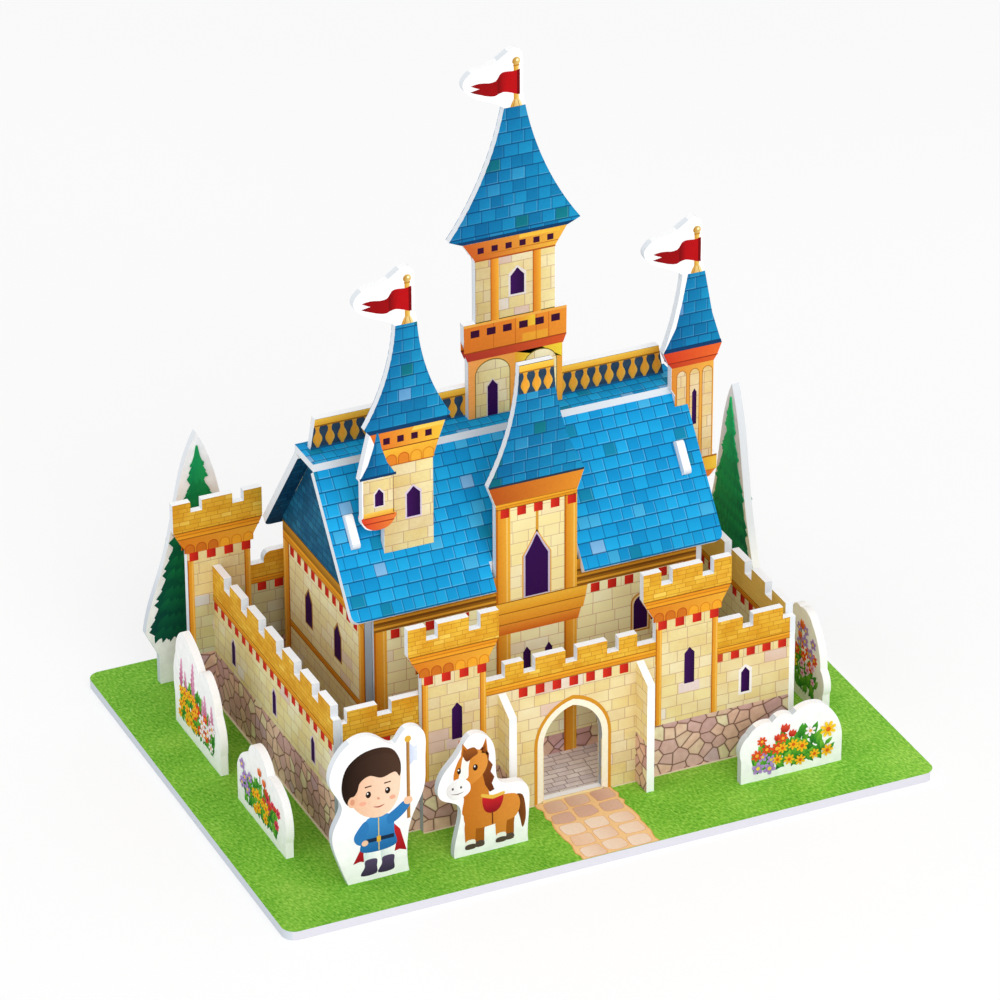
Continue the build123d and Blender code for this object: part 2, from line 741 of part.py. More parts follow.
# Fir trees
with BuildPart() as tree_left:
    with BuildSketch(seen_from_front(left_tree_front)):
        tree_outline(left_tree_centre)
        tabs(left_tree_tabs, garden_tab)
    extrude(amount=-board)
save(tree_left, "tree_left")

with BuildPart() as tree_right:
    with BuildSketch(seen_from_side(garden_right)):
        tree_outline(right_tree_centre)
        tabs(right_tree_tabs, garden_tab)
    extrude(amount=board)
save(tree_right, "tree_right")

# Flower boards: two on the left lawn, one on the right lawn and one in front
for name, left, start, length, height, lobes in (
        ("flowers_back_left", garden_left, back_bush_start, back_bush_length, back_bush_height, back_lobes),
        ("flowers_front_left", garden_left, low_bush_start, low_bush_length, low_bush_height, low_lobes),
        ("flowers_right", garden_right, right_bush_start, right_bush_length, right_bush_height, right_lobes)):
    with BuildPart() as flowers:
        with BuildSketch(seen_from_side(left)):
            bush_outline(start, length, height, lobes, lobe_bulge)
            tabs(bush_tabs(start, length), garden_tab)
        extrude(amount=board)
    save(flowers, name)

with BuildPart() as flowers_front:
    with BuildSketch(seen_from_front(front_bush_front)):
        bush_outline(front_bush_left, front_bush_length, front_bush_height, front_lobes, lobe_bulge)
        tabs(bush_tabs(front_bush_left, front_bush_length), garden_tab)
    extrude(amount=-board)
save(flowers_front, "flowers_front")

# Small figure with a pennant staff, and a horse that faces it
for name, centre, foot, width, height, edge in (
        ("figure", figure_centre, figure_foot, figure_width, figure_height, figure_edge),
        ("horse", horse_centre, horse_foot, horse_width, horse_height, horse_edge)):
    with BuildPart() as toy:
        with BuildSketch(seen_from_front(toy_front)):
            toy_card(centre, foot, width, height, edge)
            tabs((centre,), tab_length)
        extrude(amount=-board)
    save(toy, name)
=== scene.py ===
from math import asin, copysign, cos, pi, radians, sin, sqrt, tan
from random import Random

import bpy
from mathutils import Matrix, Vector


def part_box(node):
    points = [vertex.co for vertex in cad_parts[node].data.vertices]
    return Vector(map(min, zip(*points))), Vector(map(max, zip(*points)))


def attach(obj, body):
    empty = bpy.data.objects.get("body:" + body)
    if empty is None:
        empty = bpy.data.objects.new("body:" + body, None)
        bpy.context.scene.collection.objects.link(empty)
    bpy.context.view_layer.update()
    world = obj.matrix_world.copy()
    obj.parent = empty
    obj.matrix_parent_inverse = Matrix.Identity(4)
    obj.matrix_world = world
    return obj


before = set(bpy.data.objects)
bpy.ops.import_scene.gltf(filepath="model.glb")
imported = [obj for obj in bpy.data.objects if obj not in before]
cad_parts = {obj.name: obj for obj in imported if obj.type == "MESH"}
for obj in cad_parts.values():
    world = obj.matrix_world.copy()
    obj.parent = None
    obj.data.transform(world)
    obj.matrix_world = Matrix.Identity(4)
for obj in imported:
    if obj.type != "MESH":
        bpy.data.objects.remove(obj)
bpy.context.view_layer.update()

# Toy castle of printed foam boards. Prints are drawn in millimetres, u along a board and v up
# from the lawn, and each level of a print stands one thin layer further out of its board.
MM = 0.001
LAYER = 0.02
SUNK = 0.12
RELIEF = 0.05
LAWN_TOP = 3.6
ROOF_PITCH = radians(52.65)

# Heights and half widths that several boards share
COBBLE_TOP = 21.0
KEEP_COBBLES = 8.0
EAVE_BAND = 68.4
EAVE = 78.06
GABLE_FRONT = -26.0
GABLE_BACK = 49.0
KEEP_HALF = 64.0
COURT_HALF = 87.8
NO_BRICKS = 999.0

# Inks that many prints share
WHITE = "#FFFFFF"
# Painted shade laid over the stones of the front wall and of the towers printed on the front and back walls
PAINTED_STONE_SHADE = "#F4F0EE"
EDGE_SHADE = "#E4E9EE"
BROWN = "#A4661C"
LILAC = "#D9C8D6"
PALE_RIM = "#F9F3EE"
NIGHT = "#330E4C"
NAVY = "#103C66"


def paint(code):
    """A colour written as #RRGGBB, as the shader wants it."""
    values = []
    for place in (1, 3, 5):
        level = int(code[place:place + 2], 16) / 255
        values.append(level / 12.92 if level <= 0.04045 else ((level + 0.055) / 1.055) ** 2.4)
    return (*values, 1.0)


def between(one, two, share):
    return tuple(a + (b - a) * share for a, b in zip(one, two))


def fade(first, second, start, end, along="u", lightening=1.0):
    """Ink that turns from one colour to another along or up the board, made lighter by a factor as painted
    light.
    """
    one = paint(first)
    two = paint(second)

    def ink(u, v):
        place = u if along == "u" else v
        share = min(1.0, max(0.0, (place - start) / (end - start)))
        return tuple(min(1.0, level * lightening) for level in between(one, two, share))
    return ink


# Node trees, with short names for the nodes used most

class Nodes:
    """A node tree of a finish, a row of prints or the room."""

    def __init__(self, tree):
        self.tree = tree

    def put(self, socket, value):
        if isinstance(value, bpy.types.NodeSocket):
            self.tree.links.new(value, socket)
        else:
            socket.default_value = value

    def node(self, kind, settings=None, inputs=None):
        made = self.tree.nodes.new(kind)
        for key, value in (settings or {}).items():
            setattr(made, key, value)
        for key, value in (inputs or {}).items():
            self.put(made.inputs[key], value)
        return made

    def math(self, operation, first, second=0.0, third=0.0):
        inputs = {0: first, 1: second, 2: third}
        return self.node("ShaderNodeMath", {"operation": operation}, inputs).outputs[0]

    def times(self, first, second):
        return self.math("MULTIPLY", first, second)

    def line(self, value, slope, start):
        return self.math("MULTIPLY_ADD", value, slope, start)

    def vector(self, x, y, z=0.0):
        return self.node("ShaderNodeCombineXYZ", None, {0: x, 1: y, 2: z}).outputs[0]

    def background_rays(self):
        """1 for the rays that show the background: seen, mirrored or through glass."""
        rays = self.node("ShaderNodeLightPath").outputs
        share = self.math("MAXIMUM", rays["Is Camera Ray"], rays["Is Glossy Ray"])
        return self.math("MAXIMUM", share, rays["Is Transmission Ray"])


class Finish(Nodes):
    """One finish of a board or a print."""

    def __init__(self, name, roughness):
        self.material = bpy.data.materials.new(name)
        self.material.use_nodes = True
        super().__init__(self.material.node_tree)
        self.shader = self.tree.nodes["Principled BSDF"]
        self.shader.inputs["Roughness"].default_value = roughness
        self.shader.inputs["Specular IOR Level"].default_value = 0.06
        place = self.node("ShaderNodeTexCoord")
        self.place = place.outputs["Object"]
        self.normal = self.apart(place.outputs["Normal"])

    def apart(self, value):
        return self.node("ShaderNodeSeparateXYZ", None, {0: value}).outputs

    def channel(self, colour, place):
        return self.node("ShaderNodeSeparateColor", None, {0: colour}).outputs[place]

    def over(self, value, limit):
        return self.math("GREATER_THAN", value, limit)

    def under(self, value, limit):
        return self.math("LESS_THAN", value, limit)

    def inside(self, value, low, high):
        return self.times(self.over(value, low), self.under(value, high))

    def to_edge(self, share):
        """Distance to the nearer end of a share that runs from 0 to 1."""
        return self.math("MINIMUM", share, self.math("SUBTRACT", 1.0, share))

    def mix(self, amount, first, second, blend="MIX"):
        settings = {"data_type": "RGBA", "blend_type": blend}
        return self.node("ShaderNodeMix", settings, {0: amount, 6: first, 7: second}).outputs[2]

    def tint(self, colour, ink):
        return self.mix(1.0, colour, ink, "MULTIPLY")

    def ramp(self, value, stops, steps=False):
        made = self.node("ShaderNodeValToRGB", None, {0: value})
        band = made.color_ramp
        band.interpolation = "CONSTANT" if steps else "LINEAR"
        for element, (place, colour) in zip((band.elements[0], band.elements[1]), (stops[0], stops[-1])):
            element.position = place
            element.color = paint(colour)
        for place, colour in stops[1:-1]:
            band.elements.new(place).color = paint(colour)
        return made.outputs[0]

    def rise(self, value, low, high):
        inputs = {0: value, 1: low, 2: high, 3: 0.0, 4: 1.0}
        return self.node("ShaderNodeMapRange", {"interpolation_type": "SMOOTHSTEP"}, inputs).outputs[0]

    def chance(self, x, y):
        """A random number for each whole-numbered place."""
        inputs = {"Vector": self.vector(x, y)}
        return self.node("ShaderNodeTexWhiteNoise", {"noise_dimensions": "2D"}, inputs).outputs

    def noise(self, where, scale, detail=2.0):
        inputs = {"Vector": where, "Scale": scale, "Detail": detail}
        return self.node("ShaderNodeTexNoise", None, inputs).outputs["Fac"]

    def cloud(self, u, v, scale, detail=3.0, stretch=1.0):
        """Soft random spots, scale in spots per millimetre."""
        return self.noise(self.vector(self.times(u, scale), self.times(v, scale * stretch)), 1.0, detail)

    def mottled(self, colour, u, v, scale, low, high, tone):
        """Colour with soft spots of a darker tone."""
        return self.tint(colour, self.ramp(self.cloud(u, v, scale), ((low, tone), (high, WHITE))))

    def axes(self, facing):
        """Millimetres along and up a board that faces this way."""
        x, y, z = (self.times(part, 1 / MM) for part in self.apart(self.place))
        if facing == "up":
            return x, y
        height = self.math("SUBTRACT", z, LAWN_TOP)
        if facing == "slope":
            return x, self.math("DIVIDE", height, sin(ROOF_PITCH))
        return (y, height) if facing == "side" else (x, height)

    def faces(self, facing):
        """1 on the printed faces of a board and 0 on its cut edges."""
        straight = 0.9
        if facing == "up":
            return self.over(self.normal[2], straight)
        lean = self.math("ABSOLUTE", self.normal[0 if facing == "side" else 1])
        return self.inside(lean, 0.7, straight) if facing == "slope" else self.over(lean, straight)

    def finish(self, colour, height):
        """Colour and relief in millimetres, with the fine tooth of printed paper."""
        total = self.line(self.noise(self.place, 2600.0), 0.18, height)
        inputs = {"Strength": 0.6, "Distance": RELIEF * MM, "Height": total}
        self.put(self.shader.inputs["Normal"], self.node("ShaderNodeBump", None, inputs).outputs[0])
        self.put(self.shader.inputs["Base Color"], colour)
        return self.material


# Patterns: each gives a colour and a relief for a place on a board

def courses(look, u, v, width, height, spread):
    """Courses of blocks: place across and up in the block, its chances, distance to the joint."""
    level = look.math("DIVIDE", v, height)
    course = look.math("FLOOR", level)
    up = look.math("SUBTRACT", level, course)
    wide = look.line(look.chance(course, 7.0)["Value"], spread * width, width * (1 - spread / 2))
    start = look.line(look.chance(course, 3.0)["Value"], width, u)
    along = look.math("DIVIDE", start, wide)
    column = look.math("FLOOR", along)
    across = look.math("SUBTRACT", along, column)
    pick = look.chance(column, course)
    side_gap = look.times(look.to_edge(across), wide)
    foot_gap = look.times(look.to_edge(up), height)
    return across, up, pick, look.math("MINIMUM", side_gap, foot_gap)


def blocks(width, height, spread, tones, spots, joint):
    """Pattern of coursed blocks in random tones, with soft spots and thin joints."""
    start, end, joint_ink = joint

    def pattern(look, u, v):
        pick, gap = courses(look, u, v, width, height, spread)[2:]
        body = look.mottled(look.ramp(pick["Value"], tones, True), u, v, *spots)
        solid = look.rise(gap, start, end)
        return look.mix(solid, paint(joint_ink), body), solid
    return pattern


stone = blocks(7.8, 4.6, 0.5, (
    (0.0, "#FAEDB0"), (0.3, "#FBF0BC"), (0.55, "#F7E8A8"), (0.75, "#FCF3CA"), (0.9, "#F5E8B8"),
    (0.95, "#F0DBCE"), (0.98, "#FAF5EA")), (0.09, 0.3, 0.7, "#F6EBDD"), (0.05, 0.17, "#CBA68A"))
brick = blocks(4.4, 1.78, 0.4, (
    (0.0, "#E6B438"), (0.3, "#EABB42"), (0.55, "#E0AC32"), (0.8, "#E7B63C"), (0.93, "#F1CC58")),
    (0.1, 0.35, 0.65, "#F2DCB8"), (0.04, 0.15, "#BC7F24"))
teal_tiles = blocks(4.2, 2.9, 0.3, (
    (0.0, "#1D6C90"), (0.35, "#237698"), (0.65, "#186282"), (0.88, "#2C82A2")),
    (0.06, 0.35, 0.7, "#BCCCDA"), (0.08, 0.28, "#0E4160"))
# Court paving, made paler as painted light against the shade of the walled court.
paving = blocks(6.4, 2.7, 0.5, (
    (0.0, "#F2E8E6"), (0.3, "#E9DEDC"), (0.55, "#F8F0EC"), (0.8, "#E2D7D8")),
    (0.2, 0.3, 0.7, "#EEE8E6"), (0.08, 0.26, "#A3928E"))


def cobble(look, u, v):
    """Rounded field stones with dark joints."""
    where = look.vector(look.math("DIVIDE", u, 5.3), look.math("DIVIDE", v, 5.0))
    cells, edges = (
        look.node("ShaderNodeTexVoronoi", {"voronoi_dimensions": "2D", "feature": feature},
                  {"Vector": where, "Scale": 1.0, "Randomness": 0.85}).outputs
        for feature in ("F1", "DISTANCE_TO_EDGE"))
    body = look.ramp(look.channel(cells["Color"], 0), (
        (0.0, "#EFC8B6"), (0.2, "#DEB6B2"), (0.4, "#F3D2BC"), (0.56, "#D6AEAC"), (0.7, "#F6EAC6"),
        (0.82, "#E6C6B0"), (0.92, "#D8B8C2")), True)
    body = look.mottled(body, u, v, 0.35, 0.3, 0.7, "#EEE6E2")
    edge = edges["Distance"]
    body = look.mix(look.line(look.rise(edge, 0.04, 0.14), -0.5, 0.5), body, paint("#B28A80"))
    return look.mix(look.rise(edge, 0.014, 0.048), paint("#6A4438"), body), look.rise(edge, 0.02, 0.3)


def roof_tiles(tones):
    """Pattern of blue tiles with dark courses and a pale line at the foot and the right."""
    def pattern(look, u, v):
        across, up, pick = courses(look, u, v, 4.9, 4.8, 0.3)[:3]
        fall = look.ramp(up, ((0.1, WHITE), (1.0, "#E0ECF2")))
        body = look.tint(look.ramp(pick["Value"], tones, True), fall)
        pale_edge = look.math("MAXIMUM", look.inside(up, 0.12, 0.165), look.inside(across, 0.9, 0.945))
        strength = look.line(look.channel(pick["Color"], 1), 0.34, -0.06)
        body = look.mix(look.times(pale_edge, strength), body, paint("#A6E0F6"))
        side_joint = look.line(look.rise(look.to_edge(across), 0.015, 0.05), -0.72, 0.72)
        body = look.mix(side_joint, body, paint("#0B5A8C"))
        course_line = look.rise(up, 0.065, 0.13)
        return look.mix(look.line(course_line, 0.82, 0.18), paint("#0A4A78"), body), course_line
    return pattern


bright_tiles = roof_tiles((
    (0.0, "#18A0DC"), (0.3, "#1BA6E0"), (0.52, "#1396D2"), (0.72, "#20ACE6"), (0.87, "#138AB0"),
    (0.92, "#42B0E0"), (0.97, "#82B8E2")))
# Darker copy of the bright tiles for the upright spires and the pavilion roof: painted shade of faces that
# stand upright.
tiles_in_painted_shade = roof_tiles((
    (0.0, "#168ABC"), (0.3, "#1A92C4"), (0.52, "#1480B2"), (0.72, "#1E98C8"), (0.87, "#12808C"),
    (0.93, "#34A0CE"), (0.975, "#74B0DC")))


def tiled_slope(look, u, v):
    """Bright tiles on top of a roof slope and dark ones under it, darkened further by a painted shade."""
    above, rise = bright_tiles(look, u, v)
    # Painted shade: the tiles under the roof are darkened by a grey-blue.
    below = look.tint(teal_tiles(look, u, v)[0], paint("#A8B8C4"))
    return look.mix(look.under(look.normal[2], 0.0), above, below), rise


def grass(look, u, v):
    """Mown lawn: fine blades over light and dark patches, a little greyer to the left."""
    spots = look.cloud(u, v, 0.045, 5.0)
    patches = look.ramp(spots, ((0.32, "#5AA62A"), (0.5, "#7EC23E"), (0.68, "#A4D858")))
    blades = look.cloud(look.line(v, 0.25, u), v, 1.25, 4.0, 0.5)
    fine = look.ramp(blades, ((0.28, "#38851C"), (0.5, "#82C63A"), (0.72, "#C4EC70")))
    greyer = look.ramp(look.line(u, 0.005, 0.5), ((0.0, "#EDEEEC"), (1.0, WHITE)))
    return look.tint(look.mix(0.6, patches, fine), greyer), blades


def paper(scale, dark, light):
    """Pattern of plain paper with soft spots."""
    def pattern(look, u, v):
        return look.ramp(look.cloud(u, v, scale), ((0.3, dark), (0.7, light))), look.cloud(u, v, 1.2)
    return pattern


card = paper(0.3, "#F4F4F5", WHITE)
slate = paper(0.25, "#263C52", "#354C62")


def castle_wall(brick_from, cobble_to=COBBLE_TOP, painted_court_light=0.0, tone=WHITE, lightening=0.0):
    """Stone wall with a brick parapet and cobbles at its foot, calm above the eave band, and painted light
    and shade: stones paler and greener in the court, a tone laid over the stones, bricks mixed towards pale
    yellow.
    """
    def pattern(look, u, v):
        stones, stone_rise = stone(look, u, v)
        # Painted light in the court: below the eave band the stones are mixed towards a paler, greener
        # colour.
        shaded = look.times(look.under(v, EAVE_BAND), look.times(stone_rise, painted_court_light))
        calm = look.times(look.over(v, EAVE_BAND), look.times(stone_rise, 0.7))
        stones = look.mix(calm, look.mix(shaded, stones, paint("#F2FFD6")), paint("#F2E4A2"))
        # Painted shade: the board's tone laid over its stones.
        stones = look.tint(stones, paint(tone))
        bricks, brick_rise = brick(look, u, v)
        # Painted light: the bricks mixed towards pale yellow by the lightening share.
        bricks = look.mix(lightening, bricks, paint("#FFE884"))
        high = look.over(v, brick_from)
        colour = look.mix(look.under(v, cobble_to), look.mix(high, stones, bricks), cobble(look, u, v)[0])
        return colour, look.line(high, look.math("SUBTRACT", brick_rise, stone_rise), stone_rise)
    return pattern


def gable_wall(look, u, v):
    """Stone wall whose hooks through the roof are white."""
    # The gable's stones take a little of the painted court light.
    colour, rise = castle_wall(NO_BRICKS, KEEP_COBBLES, 0.25)(look, u, v)
    slope = tan(ROOF_PITCH)
    board = 3.0
    front_line = look.line(u, slope, EAVE - GABLE_FRONT * slope + board)
    back_line = look.line(u, -slope, EAVE + GABLE_BACK * slope + board)
    hook = look.over(v, look.math("MINIMUM", front_line, back_line))
    return look.mix(hook, colour, paint("#F2F5F8")), rise


def foam(look, painted_side_shade, painted_front_shade, shade_top):
    """White foam core on a cut edge, with its fine cells, and painted shade on the edges that face left and
    to the front, greyer low down.
    """
    shade_depth = 0.02
    inputs = {"Vector": look.place, "Scale": 2200.0}
    cells = look.node("ShaderNodeTexVoronoi", None, inputs).outputs["Distance"]
    core = look.ramp(cells, ((0.0, "#F3F5F7"), (0.5, "#FEFEFE")))
    shadow = look.rise(look.apart(look.place)[2], shade_top, shade_top - shade_depth)
    for axis, limit, tone in ((0, -0.5, painted_side_shade), (1, -0.85, painted_front_shade)):
        turned = look.under(look.normal[axis], limit)
        core = look.mix(turned, core, look.mix(shadow, paint(EDGE_SHADE), paint(tone)))
    return core


def board_finish(name, facing, pattern, painted_side_shade, painted_front_shade, shade_top):
    """Finish of a whole board: a print on its faces and foam on its cut edges, with painted shade on some of
    them.
    """
    look = Finish(name, 0.66)
    colour, height = pattern(look, *look.axes(facing))
    edges = foam(look, painted_side_shade, painted_front_shade, shade_top)
    return look.finish(look.mix(look.faces(facing), edges, colour), height)


print_patterns = {
    "ink": lambda look, u, v: (paint(WHITE), 0.5), "stone": stone, "cobble": cobble, "paving": paving,
    "teal": teal_tiles, "tiles": tiles_in_painted_shade, "slate": slate}
print_finishes = {}


def print_finish(pattern, facing):
    """Finish of printed shapes: a pattern tinted by the ink of each shape."""
    key = pattern + "_" + facing
    if key not in print_finishes:
        look = Finish(key, 0.62)
        u, v = look.axes(facing)
        colour, height = print_patterns[pattern](look, u, v)
        ink = look.node("ShaderNodeAttribute", {"attribute_name": "ink"}).outputs["Color"]
        tinted = look.mottled(look.tint(colour, ink), u, v, 0.8, 0.3, 0.7, "#F7F7F7")
        print_finishes[key] = look.finish(tinted, height)
    return print_finishes[key]


# Geometry Nodes trees for what repeats

class Copies(Nodes):
    """A tree with named inputs that sets out copies of a small print."""

    def __init__(self, name, sockets):
        super().__init__(bpy.data.node_groups.new(name, "GeometryNodeTree"))
        sides = self.tree.interface
        for socket, kind in (("Shape", "Object"), *sockets, ("Finish", "Material")):
            sides.new_socket(name=socket, in_out="INPUT", socket_type="NodeSocket" + kind)
        sides.new_socket(name="Geometry", in_out="OUTPUT", socket_type="NodeSocketGeometry")
        self.given = self.node("NodeGroupInput").outputs

    def solid(self, name):
        """The mesh of an object that the tree is given."""
        return self.node("GeometryNodeObjectInfo", None, {"Object": self.given[name]}).outputs["Geometry"]

    def ended(self, points, turn, scale=(1.0, 1.0, 1.0)):
        """The tree, which ends in turned copies on these points, made real and given their finish."""
        inputs = {"Points": points, "Instance": self.solid("Shape"),
                  "Rotation": self.vector(0.0, 0.0, turn), "Scale": scale}
        copied = self.node("GeometryNodeInstanceOnPoints", None, inputs).outputs[0]
        real = self.node("GeometryNodeRealizeInstances", None, {0: copied}).outputs[0]
        inputs = {"Geometry": real, "Material": self.given["Finish"]}
        finished = self.node("GeometryNodeSetMaterial", None, inputs).outputs[0]
        self.node("NodeGroupOutput", None, {0: finished})
        return self.tree


def row_tree():
    """Copies of a shape at even steps, each turned a little further than the last."""
    row = Copies("printed_row", (
        ("Count", "Int"), ("Start", "Vector"), ("Step", "Vector"), ("First Turn", "Float"),
        ("Turn", "Float")))
    given = row.given
    inputs = {"Count": given["Count"], "Start Location": given["Start"], "Offset": given["Step"]}
    points = row.node("GeometryNodeMeshLine", None, inputs).outputs[0]
    index = row.node("GeometryNodeInputIndex").outputs[0]
    return row.ended(points, row.line(index, given["Turn"], given["First Turn"]))


def scatter_tree():
    """Copies of a shape strewn over a bed, kept a distance apart, turned and sized at random."""
    bed = Copies("strewn_print", (
        ("Bed", "Object"), ("Gap", "Float"), ("Density", "Float"), ("Seed", "Int"), ("Small", "Float"),
        ("Large", "Float"), ("Swing", "Float"), ("Low", "Float"), ("High", "Float")))
    given = bed.given

    def random_between(low, high, shift):
        """A random number between two inputs, with its own seed."""
        inputs = {2: low, 3: high, "Seed": bed.math("ADD", given["Seed"], shift)}
        return bed.node("FunctionNodeRandomValue", None, inputs).outputs[1]

    inputs = {"Mesh": bed.solid("Bed"), "Distance Min": given["Gap"], "Density Max": given["Density"],
              "Seed": given["Seed"]}
    strewn = bed.node("GeometryNodeDistributePointsOnFaces", {"distribute_method": "POISSON"}, inputs)
    height = random_between(given["Low"], given["High"], 11)
    inputs = {"Geometry": strewn.outputs["Points"], "Offset": bed.vector(0.0, 0.0, height)}
    lifted = bed.node("GeometryNodeSetPosition", None, inputs).outputs[0]
    turn = random_between(bed.times(given["Swing"], -1.0), given["Swing"], 23)
    return bed.ended(lifted, turn, random_between(given["Small"], given["Large"], 37))


row_of_prints = row_tree()
strewn_prints = scatter_tree()


def new_object(name, data):
    made = bpy.data.objects.new(name, data)
    bpy.context.collection.objects.link(made)
    return made


def grown(tree, settings):
    """The plain mesh that a tree makes with these inputs."""
    carrier = new_object("carrier", bpy.data.meshes.new("carrier"))
    modifier = carrier.modifiers.new("copies", "NODES")
    modifier.node_group = tree
    for socket in tree.interface.items_tree:
        if socket.in_out == "INPUT":
            modifier[socket.identifier] = settings[socket.name]
    depsgraph = bpy.context.evaluated_depsgraph_get()
    mesh = bpy.data.meshes.new_from_object(carrier.evaluated_get(depsgraph))
    bpy.data.objects.remove(carrier)
    return mesh


# Outlines

def ring(centre_u, centre_v, half_u, half_v, count=20):
    """Points round an ellipse."""
    return [(centre_u + half_u * cos(2 * pi * step / count), centre_v + half_v * sin(2 * pi * step / count))
            for step in range(count)]


def both_sides(centre, side):
    """Whole outline from half widths and heights up its right side."""
    return [(centre + half, height) for half, height in side] + [
        (centre - half, height) for half, height in reversed(side)]


def smooth(points, steps=5):
    """Closed smooth outline through a few points."""
    made = []
    count = len(points)
    for index in range(count):
        before, first, second, after = (points[(index + shift) % count] for shift in (-1, 0, 1, 2))
        for step in range(steps):
            t = step / steps
            made.append(tuple(
                0.5 * (2 * b + (c - a) * t + (2 * a - 5 * b + 4 * c - d) * t**2
                       + (3 * b - a - 3 * c + d) * t**3)
                for a, b, c, d in zip(before, first, second, after)))
    return made


def arch(left, right, foot, spring, apex, steps=7):
    """Opening with straight sides under a pointed or a round head."""
    middle = (left + right) / 2
    half = (right - left) / 2
    rise = apex - spring
    if rise <= half:
        head = [(middle + half * cos(pi * step / (2 * steps)), spring + rise * sin(pi * step / (2 * steps)))
                for step in range(1, 2 * steps)]
        return [(left, foot), (right, foot), (right, spring), *head, (left, spring)]
    radius = (half**2 + rise**2) / (2 * half)
    sweep = asin(rise / radius)
    head = [(radius * cos(sweep * step / steps) - radius + half, radius * sin(sweep * step / steps))
            for step in range(steps + 1)]
    right_side = [(middle + u, spring + v) for u, v in head]
    left_side = [(middle - u, spring + v) for u, v in reversed(head[:-1])]
    return [(left, foot), (right, foot), *right_side, *left_side]


def lancet(left, right, foot, apex, rise):
    """Tall opening with shoulders under a slightly hollow point."""
    middle = (left + right) / 2
    half = (right - left) / 2
    shoulder = apex - rise
    head = ((1.0, 0.0), (0.72, 0.26), (0.4, 0.58), (0.16, 0.86))
    right_side = [(middle + half * wide, shoulder + rise * high) for wide, high in head]
    left_side = [(2 * middle - u, v) for u, v in reversed(right_side)]
    return [(left, foot), (right, foot), *right_side, (middle, apex), *left_side]


def spire_side(half_low, low, half_middle, middle, half_high, high, count=12):
    """Half widths and heights up a hollow-sided roof, on the circle through three of its points."""
    ax, ay, bx, by, cx, cy = half_low, low, half_middle, middle, half_high, high
    a_square = ax**2 + ay**2
    b_square = bx**2 + by**2
    c_square = cx**2 + cy**2
    scale = 2 * (ax * (by - cy) + bx * (cy - ay) + cx * (ay - by))
    centre_x = (a_square * (by - cy) + b_square * (cy - ay) + c_square * (ay - by)) / scale
    centre_y = (a_square * (cx - bx) + b_square * (ax - cx) + c_square * (bx - ax)) / scale
    radius = sqrt((ax - centre_x)**2 + (ay - centre_y)**2)
    heights = [low + (high - low) * step / count for step in range(count + 1)]
    return [(centre_x - sqrt(max(radius**2 - (height - centre_y)**2, 0.0)), height) for height in heights]


# Prints: closed flat shapes on the faces of a board


def on_face(facing, face, point):
    """A printed point in metres, on the face of a board that stands or lies this way."""
    u, v, rise = point
    height = v + LAWN_TOP
    placed = {
        "flat": (u / MM, v / MM, rise / MM), "up": (u, v, face + rise),
        "front": (u, face - rise, height), "back": (u, face + rise, height),
        "left": (face - rise, u, height), "right": (face + rise, u, height)}
    return tuple(value * MM for value in placed[facing])


